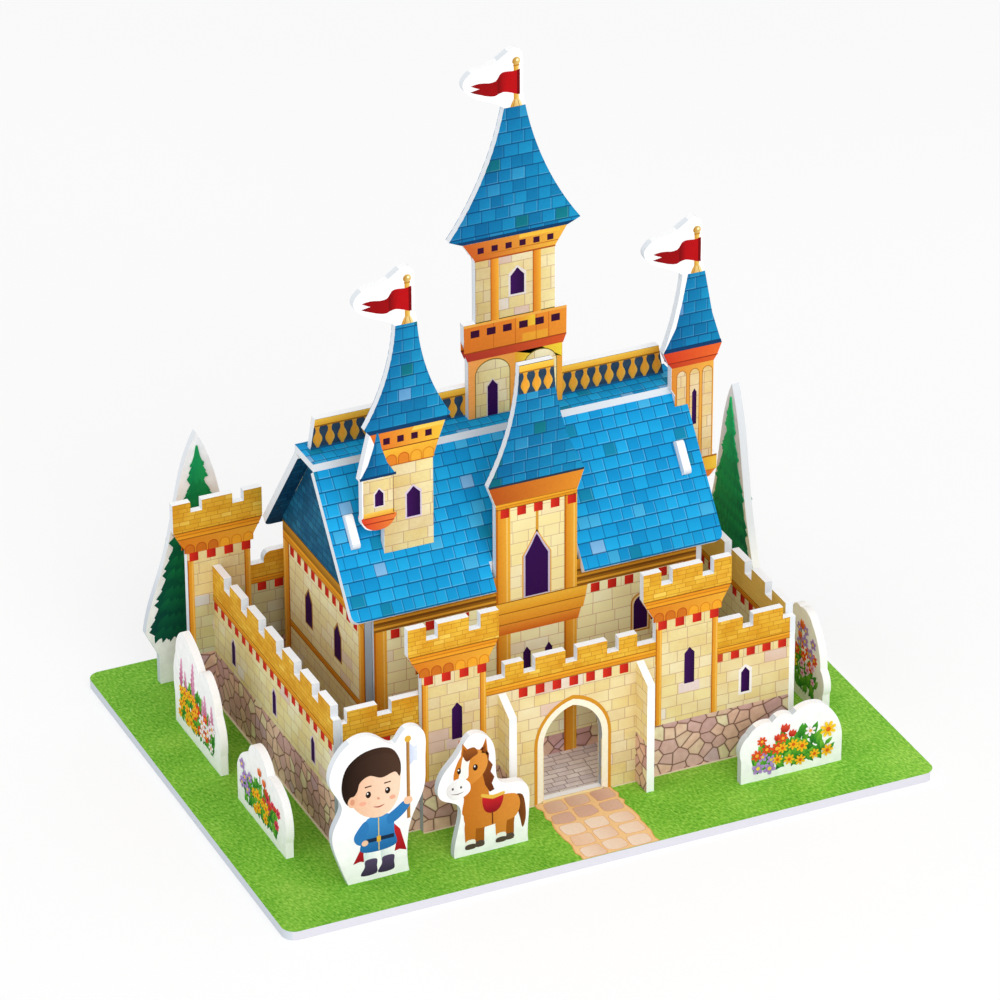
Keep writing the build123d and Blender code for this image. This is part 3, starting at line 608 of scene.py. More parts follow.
class Print:
    """Shapes printed on a board, gathered into one piece."""

    def __init__(self):
        self.points = []
        self.faces = []
        self.inks = []
        self.looks = []

    def add(self, corners, colours, look="ink"):
        self.faces.append(corners)
        self.inks.append(colours)
        self.looks.append(look)

    def shape(self, outline, ink, level, look="ink"):
        """A closed shape whose top is some layers above the face of the board."""
        turn = sum(a[0] * b[1] - b[0] * a[1] for a, b in zip(outline, outline[1:] + outline[:1]))
        outline = list(outline) if turn > 0 else list(reversed(outline))
        first = len(self.points)
        count = len(outline)
        self.points += [(u, v, level * LAYER) for u, v in outline]
        self.points += [(u, v, -SUNK) for u, v in outline]
        colours = [ink(u, v) if callable(ink) else paint(ink) for u, v in outline]
        self.add([first + step for step in range(count)], colours, look)
        self.add([first + count + step for step in reversed(range(count))], colours[::-1], look)
        for step in range(count):
            after = (step + 1) % count
            corners = [first + step, first + count + step, first + count + after, first + after]
            self.add(corners, [colours[step], colours[step], colours[after], colours[after]], look)

    def band(self, left, right, low, high, ink, level, look="ink"):
        self.shape([(left, low), (right, low), (right, high), (left, high)], ink, level, look)

    def flared(self, foot, top, ink, level):
        """A band with leaning ends: height, left and right end of its foot, then of its top."""
        low, left, right = foot
        high, top_left, top_right = top
        self.shape([(left, low), (right, low), (top_right, high), (top_left, high)], ink, level)

    def mesh(self, name, facings=(("flat", 0.0),)):
        """One mesh of these shapes, on each of the faces named."""
        points = []
        faces = []
        colours = []
        for facing, face in facings:
            first = len(points)
            points += [on_face(facing, face, point) for point in self.points]
            for corners, inks in zip(self.faces, self.inks):
                order = list(range(len(corners)))
                if facing in ("back", "left"):
                    order.reverse()
                faces.append([first + corners[place] for place in order])
                colours += [inks[place] for place in order]
        made = bpy.data.meshes.new(name)
        made.from_pydata(points, [], faces)
        layer = made.color_attributes.new("ink", "FLOAT_COLOR", "CORNER")
        layer.data.foreach_set("color", [value for colour in colours for value in colour])
        return made

    def grow(self, tree, shapes, settings):
        """Add the copies of a small print that a tree makes."""
        stamp = new_object("stamp", shapes.mesh("stamp"))
        mesh = grown(tree, {**settings, "Shape": stamp, "Finish": print_finish("ink", "front")})
        bpy.data.objects.remove(stamp)
        first = len(self.points)
        ink = mesh.attributes["ink"].data
        self.points += [tuple(vertex.co) for vertex in mesh.vertices]
        for face in mesh.polygons:
            colours = [tuple(ink[corner].color) for corner in face.loop_indices]
            self.add([first + corner for corner in face.vertices], colours)
        bpy.data.meshes.remove(mesh)

    def row(self, shapes, count, start, step, turn=(0.0, 0.0), level=0, rise=0.0):
        """Copies of a small print in a row, each turned and raised a little where they overlap."""
        self.grow(row_of_prints, shapes, {
            "Count": count, "Start": (*start, level * LAYER), "Step": (step, 0.0, rise),
            "First Turn": turn[0], "Turn": turn[1]})

    def strew(self, bed, shapes, gap, seed, sizes, swing, levels, density):
        """Copies of a small print strewn over a bed."""
        flat = bpy.data.meshes.new("bed")
        flat.from_pydata([(u, v, 0.0) for u, v in bed], [], [list(range(len(bed)))])
        ground = new_object("bed", flat)
        self.grow(strewn_prints, shapes, {
            "Bed": ground, "Gap": gap, "Density": density, "Seed": seed, "Small": sizes[0], "Large": sizes[1],
            "Swing": swing, "Low": levels[0] * LAYER, "High": levels[1] * LAYER})
        bpy.data.objects.remove(ground)

    def on_board(self, node, *facings):
        """Put the print on faces of a board as a piece of its own."""
        low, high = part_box(node)
        places = {"front": low.y, "back": high.y, "left": low.x, "right": high.x, "up": LAWN_TOP * MM}
        made = self.mesh(node + "_print", [(facing, places[facing] / MM) for facing in facings])
        axis = {"front": "front", "left": "side", "up": "up"}[facings[0]]
        looks = sorted(set(self.looks))
        for look in looks:
            made.materials.append(print_finish(look, axis))
        indices = [looks.index(look) for look in self.looks] * len(facings)
        made.polygons.foreach_set("material_index", indices)
        made.update()
        piece = new_object(node + "_print", made)
        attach(piece, "root")


# Finishes of the boards

# The tones on the front, back and left walls are painted shade on their stones; the court light share and the
# lightening on the right wall, the keep and the gables are painted light.
board_finishes = {
    "front_wall": ("front", castle_wall(47.0, tone=PAINTED_STONE_SHADE)),
    "left_curtain": ("front", castle_wall(44.4)),
    "back_wall": ("front", castle_wall(47.4, tone="#D6E0EA")),
    "left_wall": ("side", castle_wall(44.6, tone="#F0F5F8")),
    "right_wall": ("side", castle_wall(44.6, painted_court_light=0.6, lightening=0.6)),
    "left_buttress": ("side", castle_wall(NO_BRICKS)),
    "right_buttress": ("side", castle_wall(NO_BRICKS)),
    "keep_front": ("front", castle_wall(NO_BRICKS, KEEP_COBBLES, 0.4)),
    "keep_back": ("front", castle_wall(NO_BRICKS, KEEP_COBBLES)),
    "keep_left_gable": ("side", gable_wall),
    "keep_right_gable": ("side", gable_wall),
    "roof_front": ("slope", tiled_slope),
    "roof_back": ("slope", tiled_slope),
    "roof_top": ("up", bright_tiles),
    "base_board": ("up", grass),
    "balustrade": ("front", slate),
}
# Painted shade on cut edges: edges that face left, and edges that face to the front on the boards named here,
# take these greys below shade_top and a paler painted shade above it.
painted_front_shades = {"base_board": "#DAD9E1", "left_wall": "#B4BEC8", "keep_left_gable": "#98A4AE"}
for name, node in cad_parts.items():
    facing, pattern = board_finishes.get(name, ("front", card))
    low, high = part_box(name)
    if name not in board_finishes and high.y - low.y > 2 * (high.x - low.x):
        facing = "side"
    painted_side_shade = "#A9B0BA" if name in ("keep_front", "left_curtain", "front_wall") else "#CDD4DC"
    shade_top = 0.088 if name == "keep_left_gable" else 0.056
    painted_edge_shades = (painted_side_shade, painted_front_shades.get(name, WHITE), shade_top)
    node.data.materials.clear()
    node.data.materials.append(board_finish(name + "_board", facing, pattern, *painted_edge_shades))


# Small prints that come back on many boards

def dentil(width, height):
    """Red block under a ledge, from its lower left corner."""
    made = Print()
    made.band(0, width, 0, height, fade("#D8301F", "#B8211B", 0, width), 6)
    return made


def arcade_arch(width, height, edge, inside):
    """Small dark-edged arch under a tower head."""
    made = Print()
    half = width / 2
    rim = 0.35
    made.shape(arch(-half, half, 0, height - half, height), edge, 5)
    made.shape(arch(-half + rim, half - rim, 0, height - half, height - rim), inside, 6)
    return made


def dark_square(width, height):
    made = Print()
    made.band(-width / 2, width / 2, -height / 2, height / 2, "#3A1030", 6)
    return made


def ledge(made, left, right, low, high, level=4):
    """Gold moulding with a dark line above and below it."""
    line = 0.3
    middle = (low + high) / 2
    made.band(left, right, low, high, fade("#D98A1E", "#F2AE30", low, high, "v"), level)
    made.band(left, right, low, low + line, BROWN, level + 1)
    made.band(left, right, middle - line / 2, middle + line / 2, "#C97A18", level + 1)
    made.band(left, right, high - line, high, "#B8731A", level + 1)


def pilaster(made, left, right, low, high, level=4):
    """Upright gold strip, darker at its left side."""
    width = right - left
    made.band(left, right, low, high, fade("#DE8A20", "#EFB23C", left, right), level)
    made.band(left, left + 0.12 * width + 0.1, low, high, "#C06C14", level + 1)
    made.band(right - 0.28 * width, right - 0.18 * width, low, high, "#F6C868", level + 1)


def window(made, left, right, foot, apex, rise, rim=0.0, rim_ink=LILAC, level=4):
    """Dark pointed window, most often with a pale edge."""
    if rim:
        made.shape(lancet(left - rim, right + rim, foot - rim, apex + 1.2 * rim, rise), rim_ink, level)
    made.shape(lancet(left, right, foot, apex, rise), fade("#3C1254", "#290A3E", left, right), level + 1)


def round_tower(made, centre, window_foot):
    """Print of a flat-drawn round tower with a flared head."""
    body = 12.45
    strip = 2.4
    dentil_low = 61.0
    head_low = 64.6
    made.band(centre - body + 0.2, centre + body - 0.2, 45.5, head_low, PAINTED_STONE_SHADE, 3, "stone")
    for left in (centre - body, centre + body - strip):
        pilaster(made, left, left + strip, COBBLE_TOP, dentil_low + 0.6)
    made.flared((head_low - 0.2, centre - body, centre + body), (71.6, centre - 16.3, centre + 16.3),
                fade("#D97C20", "#EDAC36", centre - 14, centre + 12), 4)
    for left, edge, inside in ((-11.4, "#B8561A", "#CE7020"), (2.5, "#D9821E", "#F0A62C")):
        made.row(arcade_arch(4.1, 3.7, edge, inside), 3, (centre + left, head_low), 4.64)
    made.row(dentil(3.5, head_low - dentil_low), 4, (centre - 11.6, dentil_low), 6.9)
    for low, half, high, top_half, ink, level in (
            (70.8, 16.0, 73.8, 17.4, fade("#EFA42A", "#E38D1E", 70.8, 73.8, "v"), 5),
            (70.7, 16.1, 71.1, 16.3, BROWN, 7), (72.3, 16.8, 72.6, 16.9, "#C3751A", 7),
            (73.5, 17.3, 73.8, 17.5, BROWN, 7)):
        made.flared((low, centre - half, centre + half), (high, centre - top_half, centre + top_half),
                    ink, level)
    middle = centre + 1.1
    made.band(middle - 4.2, middle + 4.2, window_foot - 3.6, window_foot + 0.5, "#EBD6D2", 4)
    window(made, middle - 2.0, middle + 2.0, window_foot, window_foot + 15.0, 2.3)


def eaves(made, left, right):
    """Brown and gold mouldings under the eaves of the keep."""
    made.band(left, right, EAVE_BAND, 79.6, fade("#8C5A18", "#C98A28", EAVE_BAND, 74.0, "v"), 2)
    for low, ink in ((69.4, "#E0A032"), (71.2, "#7A4C14"), (72.2, "#D9962A"), (74.6, "#6E4410")):
        made.band(left, right, low, low + 0.9, ink, 3)


def baluster(height, width):
    """Ochre vase baluster, from the middle of its foot."""
    made = Print()
    shares = ((0.0, 0.28), (0.06, 0.34), (0.16, 0.6), (0.3, 0.95), (0.42, 1.0), (0.56, 0.78), (0.7, 0.42),
              (0.84, 0.34), (1.0, 0.6))
    side = [(width / 2 * wide, height * high) for high, wide in shares]
    core = [(half * 0.55, 0.9 + v * 0.82) for half, v in side]
    made.shape(both_sides(0.0, side), fade("#D2962C", "#E8B24A", -width / 2, width / 2), 6)
    made.shape(both_sides(0.0, core), fade("#F0A93A", "#E2952A", 0, height, "v"), 7)
    return made


# Front wall, with a pale rim of short blocks round the gate
front = Print()
front.band(-33.3, 33.3, 44.8, 50.6, PAINTED_STONE_SHADE, 1, "stone")
for left, right in ((-33.4, -10.9), (12.1, 33.4)):
    front.band(left, right, 0.0, 21.4, PAINTED_STONE_SHADE, 2, "stone")
for side in (-1, 1):
    round_tower(front, side * 46.0, 36.1)
    front.band(*sorted((side * 33.6, side * 28.6)), 0.0, COBBLE_TOP, WHITE, 3, "cobble")
ledge(front, -33.5, 33.5, 50.6, 53.6)
front.row(dentil(3.4, 3.7), 7, (-20.7, 46.8), 6.65)
ledge(front, 58.4, COURT_HALF, 44.9, 47.6)
front.band(58.5, 60.6, 41.7, 44.9, "#C4452A", 6)
front.row(dentil(3.3, 3.2), 4, (63.9, 41.7), 6.4)
window(front, 68.2, 71.6, 26.7, 37.0, 2.0, 1.0, PALE_RIM)
gate_outer = arch(-14.6, 15.9, 0.0, 24.0, 42.6, 10)
gate_inner = arch(-13.4, 14.7, 0.0, 24.0, 41.0, 10)
gate_edge = arch(-11.1, 12.3, 1.1, 24.0, 38.5, 10)
for outer, inner, ink, level in (
        (gate_outer, gate_inner, "#D9962A", 6), (gate_inner, gate_edge, "#FEF8E2", 5)):
    for step in range(1, len(outer)):
        after = (step + 1) % len(outer)
        front.shape([outer[step], outer[after], inner[after], inner[step]], ink, level)
front.band(-11.1, 12.3, 0.0, 1.1, "#F6E2AE", 4)
front.on_board("front_wall", "front", "back")

# Left curtain and back wall
curtain = Print()
ledge(curtain, -COURT_HALF, -54.0, 41.9, 44.6)
curtain.row(dentil(3.3, 3.0), 5, (-85.6, 38.9), 6.35)
window(curtain, -75.4, -72.0, 24.2, 34.4, 2.0, 1.0, PALE_RIM)
curtain.on_board("left_curtain", "front", "back")

rear = Print()
for side in (-1, 1):
    round_tower(rear, side * 88.1, 34.0)
ledge(rear, -75.6, 75.6, 45.6, 48.2)
rear.row(dentil(3.4, 3.3), 22, (-73.1, 42.3), 6.8)
for middle in range(-57, 58, 19):
    window(rear, middle - 1.8, middle + 1.8, 25.0, 35.2, 2.2, 0.8)
rear.on_board("back_wall", "front", "back")

# Side walls
for node in ("left_wall", "right_wall"):
    low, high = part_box(node)
    start = low.y / MM
    wall = Print()
    ledge(wall, start, high.y / MM, 42.6, 45.0)
    wall.row(dentil(3.2, 3.2), 17, (start + 1.4, 39.4), 6.7)
    for middle in (41.2, 2.4, -33.5):
        window(wall, middle - 1.5, middle + 1.5, 25.2, 35.6, 2.0, 0.6)
    wall.on_board(node, "left", "right")

# Keep front with the pavilion
keep = Print()
for side, dentils_left in ((-1, -57.4), (1, 21.6)):
    eaves(keep, *sorted((side * 16.0, side * KEEP_HALF)))
    pilaster(keep, *sorted((side * KEEP_HALF, side * 59.0)), 0.0, EAVE_BAND, 3)
    keep.row(dentil(3.4, 3.6), 6, (dentils_left, 64.6), 6.8)
    middle = side * 41.6
    for half, foot, spring, apex, ink, level in (
            (3.9, 43.6, 55.6, 59.6, "#C98F2C", 4), (3.3, 44.2, 55.4, 59.0, "#F2D9A8", 5),
            (2.75, 44.7, 54.6, 58.4, NIGHT, 6)):
        keep.shape(arch(middle - half, middle + half, foot, spring, apex), ink, level)
keep.shape(lancet(-11.6, -8.4, 12.0, 22.0, 3.0), NIGHT, 6)
for left, right in ((-16.0, -10.4), (11.0, 16.0)):
    pilaster(keep, left, right, 0.0, 55.4)
    pilaster(keep, left, right, 68.6, 107.4)
window(keep, -5.4, -2.4, 39.1, 48.1, 2.2)
window(keep, 3.4, 6.2, 39.1, 48.1, 2.2)
corbel_middle = 0.3
for low, high, half_low, half_high, dark, light in (
        (55.2, 59.6, 16.2, 17.4, "#D86C22", "#EE9C38"), (59.6, 64.1, 18.2, 19.2, "#EC9C2E", "#F4B03A"),
        (64.1, 68.6, 19.2, 20.0, "#EFA72C", "#F7C044")):
    left = corbel_middle - half_high
    right = corbel_middle + half_high
    keep.flared((low, corbel_middle - half_low, corbel_middle + half_low), (high, left, right),
                fade(dark, light, low, high, "v"), 6)
    keep.band(left, right, high - 0.35, high, BROWN, 7)
keep.shape(lancet(-5.7, 5.8, 68.8, 96.0, 10.0), "#E2A63C", 4)
keep.shape(lancet(-5.2, 5.3, 68.8, 95.2, 9.2), "#C9BCD2", 5)
keep.shape(lancet(-4.5, 4.5, 69.2, 94.2, 8.4), NIGHT, 6)
keep.band(-0.3, 0.7, 94.8, 104.0, "#D99A30", 4)
keep.row(dentil(3.4, 3.6), 5, (-14.2, 103.4), 6.6)
ledge(keep, -16.0, 16.0, 106.9, 109.4, 5)
keep.flared((109.4, -16.2, 16.2), (116.6, -18.7, 18.7), fade("#B4521C", "#E4902C", -15.0, 4.0), 5)
keep.flared((116.3, -18.6, 18.6), (117.1, -18.9, 18.9), "#24384A", 7)
pavilion_side = spire_side(19.0, 117.0, 9.2, 142.5, 6.7, 163.4)
keep.shape(both_sides(0.0, pavilion_side), fade("#C8D6E2", WHITE, -14.0, 10.0), 4, "tiles")
baluster_foot = 152.0
rail_half = 6.7
rail_low = 160.4
rail_high = 163.3
slate_side = [(half, height) for half, height in pavilion_side if height > baluster_foot]
keep.shape(both_sides(0.0, [(slate_side[0][0], baluster_foot), *slate_side]), WHITE, 5, "slate")
keep.row(baluster(rail_low - baluster_foot, 3.5), 3, (-4.4, baluster_foot), 4.45)
keep.band(-rail_half, rail_half, rail_low, rail_high, fade("#F2B234", "#F8C84E", rail_low, rail_high, "v"), 6)
keep.band(-rail_half, rail_half, rail_low, rail_low + 0.5, "#A8701E", 7)
keep.on_board("keep_front", "front", "back")

# Keep back
keep_rear = Print()
eaves(keep_rear, -KEEP_HALF, KEEP_HALF)
keep_rear.row(dentil(3.4, 3.6), 19, (-62.9, 64.6), 6.8)
for left, right in ((-KEEP_HALF, -59.0), (-2.5, 2.5), (59.0, KEEP_HALF)):
    pilaster(keep_rear, left, right, 0.0, 64.4, 3)
for middle in (-46.0, -30.0, -14.0, 14.0, 30.0, 46.0):
    keep_rear.shape(arch(middle - 3.9, middle + 3.9, 43.6, 55.6, 59.6), "#C98F2C", 4)
    keep_rear.shape(arch(middle - 2.9, middle + 2.9, 44.5, 55.2, 58.6), NIGHT, 6)
keep_rear.on_board("keep_back", "front", "back")

# Keep gables
corner = 5.4
for node in ("keep_left_gable", "keep_right_gable"):
    gable = Print()
    gable.shape([(GABLE_FRONT, 77.0), (GABLE_BACK, 77.0), (GABLE_BACK, 78.0), (16.2, 120.9), (6.8, 120.9),
                 (GABLE_FRONT, 78.0)], WHITE, 2, "teal")
    ledge(gable, GABLE_FRONT, GABLE_BACK, 69.6, 73.2)
    gable.band(GABLE_FRONT, GABLE_BACK, 73.2, 77.2, fade("#9A681C", "#CE942C", 73.2, 77.2, "v"), 4)
    gable.band(GABLE_FRONT, GABLE_BACK, 76.8, 77.2, "#6B4A18", 6)
    gable.row(dentil(3.2, 3.6), 10, (GABLE_FRONT + 6.4, 65.8), 6.5)
    for left in (GABLE_FRONT, GABLE_BACK - corner):
        pilaster(gable, left, left + corner, 0.0, 69.6, 3)
    ledge(gable, GABLE_FRONT + corner, GABLE_BACK - corner, 34.8, 37.6)
    for middle in (25.6, -1.2):
        gable.shape(lancet(middle - 3.5, middle + 3.5, 43.9, 59.9, 4.6), "#B98A44", 4)
        gable.shape(lancet(middle - 2.9, middle + 2.9, 44.5, 58.9, 4.2), "#35104A", 5)
    gable.on_board(node, "left", "right")


# Spires, flags and finials

def flag(made, right, low):
    """Red swallow-tailed flag that flies to the left of its pole."""
    whole = [
        (0.0, 0.0), (0.0, 9.6), (-1.2, 9.4), (-2.6, 9.2), (-4.0, 9.35), (-5.4, 9.5), (-6.6, 9.45),
        (-7.5, 9.0), (-8.1, 8.1), (-8.7, 7.1), (-9.4, 6.5), (-10.6, 6.25), (-12.0, 6.25), (-13.8, 6.6),
        (-15.6, 6.8), (-17.2, 6.7), (-18.9, 6.4), (-17.2, 5.5), (-15.4, 4.7), (-17.4, 4.4), (-19.0, 4.1),
        (-17.4, 3.3), (-15.4, 2.5), (-13.2, 1.6), (-11.0, 1.0), (-9.6, 0.9), (-8.7, 1.2), (-7.9, 1.7),
        (-7.0, 1.9), (-5.8, 1.8), (-4.6, 1.5), (-3.2, 1.0), (-1.6, 0.3)]
    fold = [(-8.6, 1.4), (-6.4, 1.9), (-6.4, 9.4), (-7.3, 9.0), (-8.0, 8.0), (-8.6, 7.1)]
    tips = [(-19.0, 4.15), (-15.4, 2.6), (-14.6, 3.0), (-15.4, 4.6)]
    for outline, dark, light, start, end, level in (
            (whole, "#94090E", "#B80E14", -8.6, -5.6, 5), (fold, "#74080C", "#A80D12", -8.6, -6.4, 6),
            (tips, "#6C0E14", "#960C12", -19.0, -14.6, 6)):
        ink = fade(dark, light, right + start, right + end)
        made.shape([(right + u, low + v) for u, v in outline], ink, level)
    made.band(right - 1.1, right - 0.05, low + 0.05, low + 9.5, "#78080E", 6)


def finial(made, middle, roof_top, flag_low):
    """Gold cone, pole and ball over a roof."""
    ball = flag_low + 12.9
    gold = fade("#C98A22", "#F2CC6A", middle - 0.9, middle + 0.6)
    made.band(middle - 0.95, middle + 0.95, roof_top, ball, gold, 4)
    made.band(middle - 1.1, middle + 1.1, ball - 1.9, ball - 1.3, "#B87A1E", 5)
    cone = [(-2.3, 0.0), (2.3, 0.0), (1.9, 1.2), (1.1, 2.8), (-1.1, 2.8), (-1.9, 1.2)]
    made.shape([(middle + u, roof_top + v) for u, v in cone],
               fade("#C98A22", "#F8E09A", middle - 2.0, middle + 1.2), 5)
    for side in (-0.9, 0.9):
        foot = middle + 1.3 * side
        top = middle + 0.6 * side
        made.flared((roof_top, foot - 0.12, foot + 0.12), (roof_top + 2.7, top - 0.1, top + 0.1),
                    "#A8741E", 6)
    made.shape(ring(middle, ball, 1.5, 1.5), fade("#B07A20", "#E8C878", middle - 1.3, middle + 1.1), 7)
    made.shape(ring(middle + 0.4, ball + 0.4, 0.5, 0.5, 10), "#FFF2C4", 8)


def tiled_spire(made, centre, side, eave_half, eave_low, line):
    """Blue tiles of a spire, darker to the left, with a navy line along the eave."""
    half, low = side[0]
    tint = fade("#C0D0DE", WHITE, centre - half * 0.5, centre + half * 0.5)
    made.shape(both_sides(centre, [(eave_half, eave_low), *side]), tint, 4, "tiles")
    line_half = eave_half + (half - eave_half) * (line / (low - eave_low))
    made.flared((eave_low, centre - eave_half, centre + eave_half),
                (eave_low + line, centre - line_half, centre + line_half), NAVY, 6)


# Main tower
tower = Print()
roof_foot = 124.0
# The orange at the legs' left side is made lighter: painted light against the shade that falls there.
tower.band(-9.4, 27.8, roof_foot, 150.6, fade("#FFAA58", "#F2A63A", -6.0, 14.0), 2)
tower.shape([(9.0, 141.0), (12.0, 137.0), (13.4, 143.0), (19.4, 147.8), (25.4, 143.2), (27.6, 142.0),
             (27.6, 147.6), (9.0, 147.6)], fade("#F0A030", "#F6D83C", 8.0, 15.0), 3)
for left, right in ((-6.5, 6.8), (12.6, 25.4)):
    pale = fade("#EFE6D8", WHITE, left, left + 3.0)
    tower.shape(arch(left - 0.3, right + 0.3, roof_foot, 141.0, 146.9), "#7E6A20", 4)
    tower.shape(arch(left, right, roof_foot, 141.0, 146.5), pale, 5, "stone")
    middle = (left + right) / 2
    tower.shape(lancet(middle - 2.4, middle + 2.3, roof_foot, 139.0, 2.6), "#E3D3CC", 6)
    tower.shape(lancet(middle - 2.05, middle + 1.95, roof_foot, 138.4, 2.4), NIGHT, 7)
tower.flared((147.5, -9.7, 28.1), (150.8, -11.0, 29.4), fade("#B93A2E", "#DA5A26", -8.0, 22.0), 4)
tower.flared((150.6, -11.0, 29.4), (162.2, -11.1, 29.5), fade("#E27A2A", "#EE9230", -8.0, 16.0), 3)
tower.band(9.4, 17.0, 157.0, 161.6, fade("#EE9230", "#F4C83A", 9.4, 12.0), 4)
tower.band(12.0, 22.0, 151.0, 154.4, "#F0A634", 4)
tower.band(-11.1, 29.5, 161.2, 162.2, "#F3AE4C", 5)
tower.band(-11.0, 29.4, 150.6, 151.1, "#A8481E", 5)
for place in (0.6, 9.2, 17.4, 22.4):
    tower.band(place - 0.12, place + 0.12, 151.0, 161.2, "#C96A1E", 5)
tower.row(dark_square(3.4, 2.8), 6, (-6.7, 158.2), 6.36)
shaft_left = -6.4
shaft_right = 24.8
shaft_low = 162.2
shaft_high = 187.0
tower.band(shaft_left, shaft_right, shaft_low, shaft_high, fade("#D9D0C8", WHITE, -6.0, 4.0), 2, "stone")
tower.band(shaft_left, shaft_right, shaft_low, shaft_low + 0.4, "#6A5A24", 3)
for left, right in ((-0.5, 2.7), (16.1, 19.3)):
    tower.band(left, right, shaft_low, shaft_high, fade("#D9741E", "#F4B03A", left + 0.8, left + 2.0), 4)
    tower.band(left, left + 0.3, shaft_low, shaft_high, "#B85E18", 5)
window(tower, 7.3, 12.7, 171.1, 181.5, 3.0, 0.8, "#E4DAD2")
tower.flared((shaft_high, shaft_left, shaft_right), (194.4, -11.2, 29.6),
             fade("#C85C26", "#F0B440", -6.0, 18.0), 3)
tower.band(-6.6, 25.0, 186.8, 187.4, "#B0541E", 5)
tower.band(-8.0, 26.2, 189.1, 189.4, "#C0701E", 5)
tower.row(dark_square(2.4, 2.3), 6, (-4.3, 191.0), 5.46)
tower.band(10.8, 27.0, 192.8, 194.3, "#F4BE40", 4)
tiled_spire(tower, 9.2, spire_side(25.7, 196.6, 9.0, 227.5, 4.1, 244.9), 20.7, 194.5, 1.3)
finial(tower, 9.8, 244.9, 249.5)
flag(tower, 11.2, 249.5)
tower.on_board("main_tower", "front", "back")

# Balustrade on the ridge
rail = Print()
rail_low = 132.9
rail_high = 135.8
rail.flared((124.0, -70.1, 70.1), (124.9, -69.9, 69.9), "#1F5F86", 3)
rail.row(baluster(8.4, 3.6), 29, (-67.2, 124.6), 4.8)
rail.flared((rail_low, -68.5, 68.5), (rail_high, -68.0, 68.0),
            fade("#E9A42C", "#FAC84C", rail_low, rail_high, "v"), 8)
rail.band(-68.4, 68.4, rail_low, rail_low + 0.55, "#9C6A1C", 9)
rail.on_board("balustrade", "front", "back")

# Left turret and its side turret
turret = Print()
turret.band(-55.0, -35.9, 84.0, 129.4, fade("#E8DCCB", WHITE, -55.0, -50.0), 2, "stone")
turret.flared((129.0, -55.1, -35.8), (135.8, -57.2, -33.6), fade("#E8962A", "#F4B93A", 129.0, 135.0, "v"), 3)
turret.row(arcade_arch(4.4, 4.2, "#C96A1C", "#E2832A"), 2, (-52.0, 129.2), 4.8)
turret.row(arcade_arch(4.4, 4.2, "#D98A22", "#F2AC34"), 2, (-42.4, 129.2), 4.8)
turret.flared((135.8, -57.2, -33.6), (142.8, -60.0, -31.0), fade("#E06C28", "#F6C23C", -56.0, -36.0), 3)
turret.flared((135.6, -57.1, -33.6), (136.0, -57.2, -33.5), "#8A4A1A", 5)
turret.flared((128.8, -55.2, -35.8), (129.2, -55.2, -35.7), "#B8651C", 5)
turret.row(dark_square(2.5, 2.5), 4, (-53.7, 139.1), 5.4)
turret.flared((141.2, -44.0, -31.6), (142.8, -43.0, -31.0), "#F8CE58", 4)
tiled_spire(turret, -45.5, spire_side(16.6, 145.2, 7.9, 163.8, 4.1, 184.0), 14.6, 142.8, 1.5)
finial(turret, -45.0, 184.0, 188.8)
flag(turret, -43.4, 188.8)
window(turret, -46.2, -41.0, 106.7, 118.8, 2.7, 0.6, "#DCCBDF")
turret.band(-62.9, -51.3, 110.2, 124.9, fade("#EADFD2", WHITE, -62.9, -58.0), 5, "stone")
turret.band(-51.5, -51.2, 110.2, 124.9, "#A07C5C", 6)
bowl = [(-62.9, 110.2), (-51.0, 110.2), (-51.6, 106.6), (-54.6, 104.4), (-59.2, 104.4), (-62.4, 106.6)]
turret.shape(smooth(bowl, 4), fade("#E0482A", "#F0823A", -62.0, -52.0), 5)
turret.band(-62.9, -51.0, 109.7, 111.7, fade("#F0A838", "#F9CC58", 109.7, 111.7, "v"), 6)
turret.band(-62.9, -51.0, 109.4, 109.8, "#A8441E", 7)
turret.band(-62.8, -51.2, 107.1, 107.5, "#A8381E", 7)
window(turret, -58.5, -55.2, 113.8, 120.6, 2.0, 0.5, "#EBDDE0", 6)
turret.shape([(-64.2, 125.3), (-50.2, 125.3), (-53.6, 130.8), (-55.7, 137.2), (-56.8, 143.3), (-57.4, 143.3),
              (-58.8, 137.2), (-61.0, 130.8)], fade("#A8BCCC", "#E4F0FA", -62.0, -53.0), 7, "tiles")
turret.band(-64.2, -50.2, 125.2, 126.2, NAVY, 8)
turret.on_board("left_turret", "front", "back")

# Right turret
turret = Print()
turret.shape([(68.2, 106.0), (73.5, 98.0), (73.5, 93.0), (83.8, 93.0), (83.8, 133.0), (66.8, 133.0),
              (66.8, 124.2), (68.3, 121.6)], fade("#DE8A34", "#F2B24A", 67.0, 82.0), 2)
for left, right, foot in ((69.1, 72.7, 106.0), (74.3, 77.9, 94.0), (79.4, 83.2, 93.6)):
    turret.shape(arch(left - 0.25, right + 0.25, foot, 128.9, 131.1), "#B8701E", 3)
    turret.shape(arch(left, right, foot, 128.8, 130.8), "#F2E6E2", 4, "stone")
window(turret, 75.2, 77.0, 108.0, 122.8, 1.6)
turret.flared((132.8, 66.9, 83.8), (134.9, 65.4, 85.2), fade("#C23A22", "#E0602A", 67.0, 84.0), 4)
turret.flared((134.9, 65.4, 85.2), (139.4, 63.4, 87.0), fade("#D23C22", "#EA6A2E", 66.0, 85.0), 4)
turret.flared((134.7, 65.3, 85.3), (135.1, 65.2, 85.4), "#9C3218", 6)
turret.shape([(63.6, 139.6), (86.8, 139.6), (82.9, 152.5), (79.7, 170.0), (72.9, 170.0), (70.6, 158.0),
              (68.4, 149.0)], fade("#C0D0DE", WHITE, 69.0, 80.0), 4, "tiles")
turret.flared((139.4, 63.4, 87.0), (141.0, 64.2, 86.5), NAVY, 6)
finial(turret, 76.3, 170.0, 174.3)
flag(turret, 77.9, 174.3)
